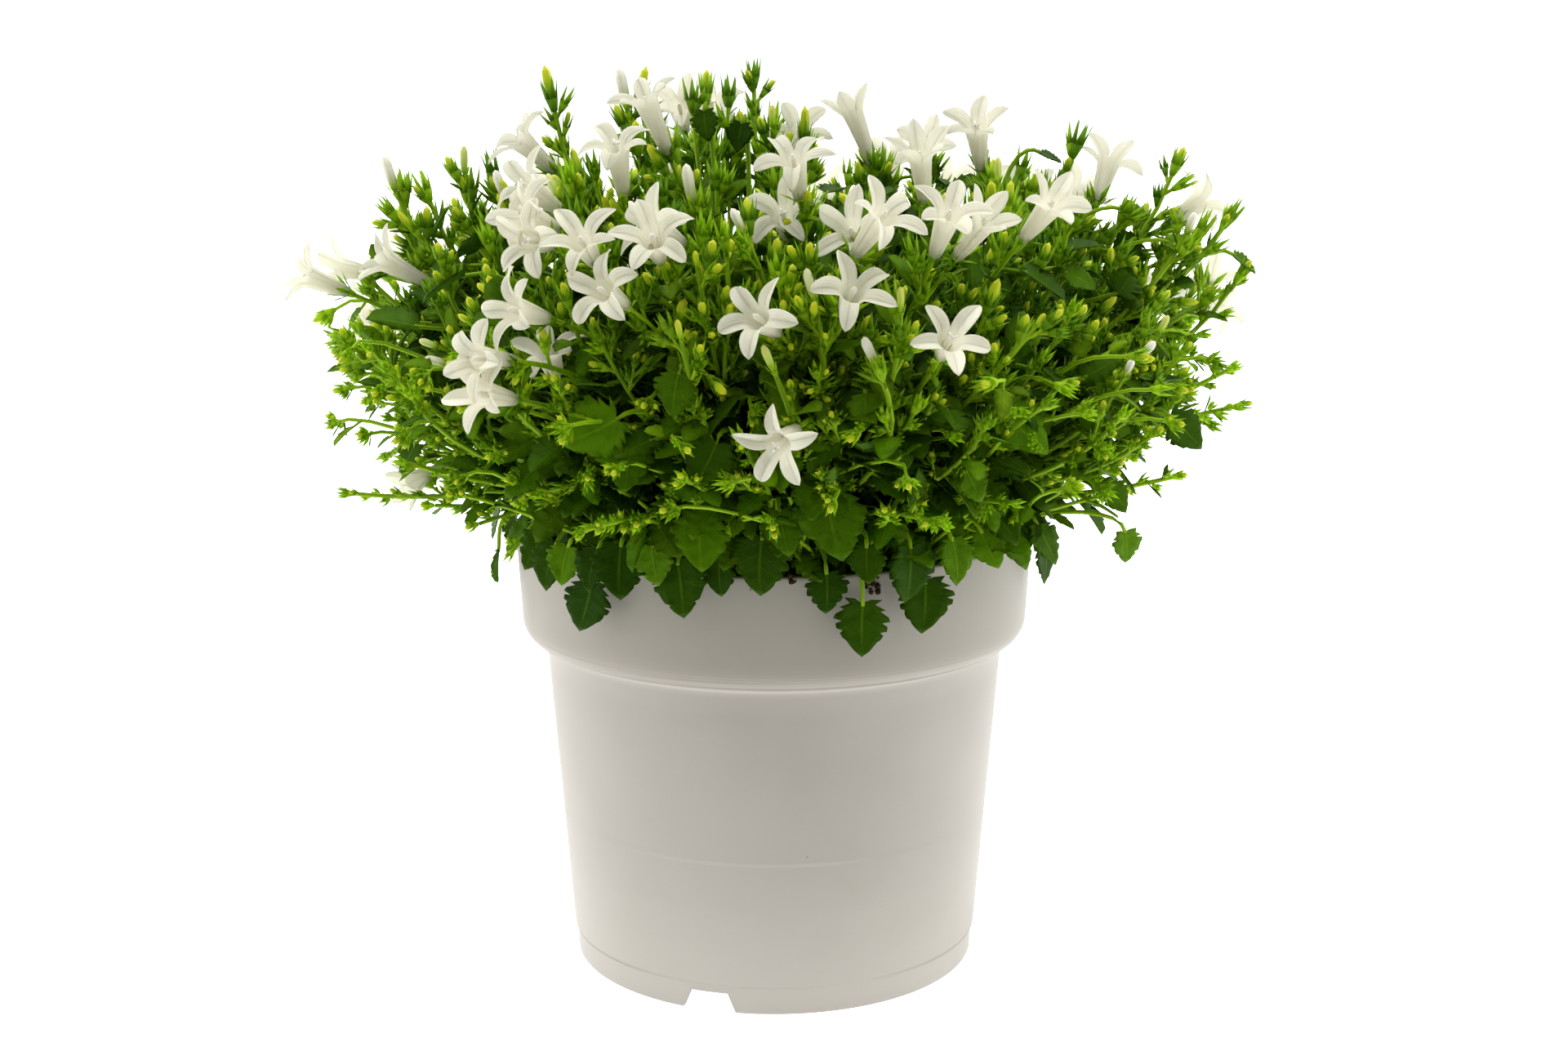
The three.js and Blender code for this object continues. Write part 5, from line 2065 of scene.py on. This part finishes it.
class BELLFLOWER_OT_shoots(bpy.types.Operator):
    """Grows every shoot: stems, leaves, twigs, bud tufts and calyxes"""

    bl_idname = "bellflower.shoots"
    bl_label = "Grow shoots"

    def execute(self, context):
        foliage = context.scene.bellflower_foliage
        prototypes = make_prototypes()
        tree = growth_tree()
        room = Room(CAD_BELLS + sights(SEEN_BELLS) + BACK_BELLS)
        rng = random.Random(foliage.seed)
        shoots = self.cad_shoots(rng, room)
        sectors = [Growth() for _ in range(foliage.sectors)]
        self.fill(sectors, rng, room, foliage)
        for number, growth in enumerate(shoots, 1):
            piece = grown(growth, f"flower_shoot_{number:02d}", tree, prototypes, 6)
            carried(piece, "stem_green", f"shoot_{number:02d}")
        for number, growth in enumerate(sectors, 1):
            carried(grown(growth, f"foliage_{number:02d}", tree, prototypes, 4), "leaf_green")
        for thing in prototypes.values():
            bpy.data.objects.remove(thing)
        return {"FINISHED"}

    def cad_shoots(self, rng, room):
        """The construction's shoots: those that carry a bell, and those that end in bud tufts."""
        shoots = []
        for bell in CAD_BELLS:
            shoots.append(Growth())
            grow_shoot(shoots[-1], rng, room, bell_stem(bell), CALYX)
        for x, y, z, heading, rise in CAD_SPIKES:
            shoots.append(Growth())
            points = stem_points(Vector((x, y, z)), direction(heading, rise), 0)
            grow_shoot(shoots[-1], rng, room, points, TUFT, SPIKE_ROW)
        return shoots

    def fill(self, sectors, rng, room, foliage):
        """All that grows between the construction's shoots, each in the sector where it ends."""
        for bell in sights(SEEN_BELLS, HIDDEN_BELLS) + BACK_BELLS:
            grow_shoot(self.sector(sectors, bell_seat(bell)), rng, room, bell_stem(bell), CALYX)
        for spike in SEEN_SPIKES:
            tip = place_of(spike)
            points = stem_points(tip, facing_of(spike), TUFT_LENGTH, SPIKE_REACH)
            grow_shoot(self.sector(sectors, tip), rng, room, points, TUFT, SPIKE_ROW)
        for bud in SEEN_BUDS:
            self.grow_bud(self.sector(sectors, place_of(bud)), rng, room, bud)
        for tip, facing in filler_plans(foliage):
            if room.is_free(tip):
                points = stem_points(tip, facing, 2, FILLER_REACH)
                grow_shoot(self.sector(sectors, tip), rng, room, points, TUFT)
        low_growth = (
            (low_leaf, foliage.low_leaves),
            (low_sprig, foliage.low_sprigs),
            (inner_leaf, foliage.inner_leaves),
        )
        for grow, count in low_growth:
            for azimuth, share in spread_round(count):
                grow(self.sector(sectors, polar(azimuth, 1, 0)), rng, room, azimuth, share)

    def sector(self, sectors, point):
        share = (atan2(point.y, point.x) / (tau)) % 1
        return sectors[int(share * len(sectors)) % len(sectors)]

    def grow_bud(self, growth, rng, room, bud):
        """A shoot that carries one tall bud."""
        foot = place_of(bud)
        tip = seen_at(bud.tip_column, bud.tip_row, bud.depth)
        along = (tip - foot).normalized()
        grow_shoot(growth, rng, room, stem_points(foot, along, 0), STEM)
        length = (tip - foot).length / TALL_BUD_LENGTH
        girth = mix(0.75, 1.0, bud.ripeness) * min(1.15, 0.4 + 0.6 * length)
        size = (girth, girth, length)
        growth.sprout(TALL_BUD, foot, along, Vector((0, -1, 0)), size, 0.8, 1 - bud.ripeness)


class BELLFLOWER_OT_bells(bpy.types.Operator):
    """Makes the white bells and their styles"""

    bl_idname = "bellflower.bells"
    bl_label = "Make bells"

    def execute(self, context):
        rng = random.Random(context.scene.bellflower_foliage.seed)
        for number, bell in enumerate(CAD_BELLS, 1):
            piece = bell_piece(f"bell_{number:02d}", [bell], rng)
            carried(piece, "petal_white", f"corolla_{number:02d}")
        seen = sights(SEEN_BELLS, HIDDEN_BELLS)
        groups = {
            "bells_left": [bell for bell in seen if bell.x < -30],
            "bells_middle": [bell for bell in seen if -30 <= bell.x < 30],
            "bells_right": [bell for bell in seen if bell.x >= 30],
            "bells_back": BACK_BELLS,
        }
        for name, bells in groups.items():
            carried(bell_piece(name, bells, rng), "petal_white")
        carried(styles_piece("styles", all_bells(), rng), "bud_cream")
        return {"FINISHED"}


class BELLFLOWER_OT_stage(bpy.types.Operator):
    """Makes the camera, the floor and the light"""

    bl_idname = "bellflower.stage"
    bl_label = "Make stage"

    def execute(self, context):
        stage = context.scene.bellflower_stage
        self.make_camera(context.scene)
        size = stage.floor_size / 2
        corners = [(-size, -size, 0), (size, -size, 0), (size, size, 0), (-size, size, 0)]
        floor = new_object("floor", mesh_of("floor", corners, [(0, 1, 2, 3)], 1.0))
        floor.data.materials.append(new_material("floor_white", floor_material, stage.floor_glow))
        self.make_world(context.scene, stage)
        context.scene.view_settings.view_transform = "Standard"
        return {"FINISHED"}

    def make_camera(self, scene):
        """The camera that took the photograph."""
        data = bpy.data.cameras.new("camera")
        data.sensor_width = SENSOR
        data.lens = SENSOR * FOCAL_PIXELS / PICTURE_WIDTH
        data.clip_start = 0.01
        data.clip_end = 50
        camera = new_object("camera", data)
        camera.location = CAMERA_PLACE * MM
        camera.rotation_euler = (pi / 2 - CAMERA_PITCH, 0, 0)
        scene.camera = camera

    def make_world(self, scene, stage):
        """A white studio: bright behind, at the sides and above, softer in front."""
        world = bpy.data.worlds.new("studio")
        world.use_nodes = True
        world.node_tree.nodes.clear()
        w = Wiring(world.node_tree)
        sideways, ahead, upward = w.parted(w.out("ShaderNodeTexCoord", output="Generated"))
        behind = ahead.between(-0.85, 0.1)
        strength = behind * (stage.back_light - stage.front_light) + stage.front_light
        strength = strength + upward.between(0.25, 1.0) * stage.top_light
        strength = strength + abs(sideways).between(0.35, 0.85) * stage.side_light
        light = w.out("ShaderNodeBackground", {"Color": (1, 1, 1, 1), "Strength": strength})
        w.node("ShaderNodeOutputWorld", {"Surface": light})
        scene.world = world


STEPS = (
    BELLFLOWER_OT_pot,
    BELLFLOWER_OT_soil,
    BELLFLOWER_OT_basal_leaves,
    BELLFLOWER_OT_shoots,
    BELLFLOWER_OT_bells,
    BELLFLOWER_OT_stage,
)


class BELLFLOWER_PT_panel(bpy.types.Panel):
    """Lists the steps that build the plant"""

    bl_idname = "BELLFLOWER_PT_panel"
    bl_label = "Bellflower"
    bl_space_type = "VIEW_3D"
    bl_region_type = "UI"
    bl_category = "Bellflower"

    def draw(self, context):
        for step in STEPS:
            self.layout.operator(step.bl_idname)


def register():
    for group in (*SETTINGS.values(), *STEPS, BELLFLOWER_PT_panel):
        bpy.utils.register_class(group)
    for name, group in SETTINGS.items():
        setattr(bpy.types.Scene, name, PointerProperty(type=group))


def unregister():
    for name in SETTINGS:
        delattr(bpy.types.Scene, name)
    for group in (BELLFLOWER_PT_panel, *reversed(STEPS), *reversed(list(SETTINGS.values()))):
        bpy.utils.unregister_class(group)


def main():
    register()
    bpy.ops.bellflower.pot()
    bpy.ops.bellflower.soil()
    bpy.ops.bellflower.basal_leaves()
    bpy.ops.bellflower.shoots()
    bpy.ops.bellflower.bells()
    bpy.ops.bellflower.stage()


if __name__ == "__main__":
    main()
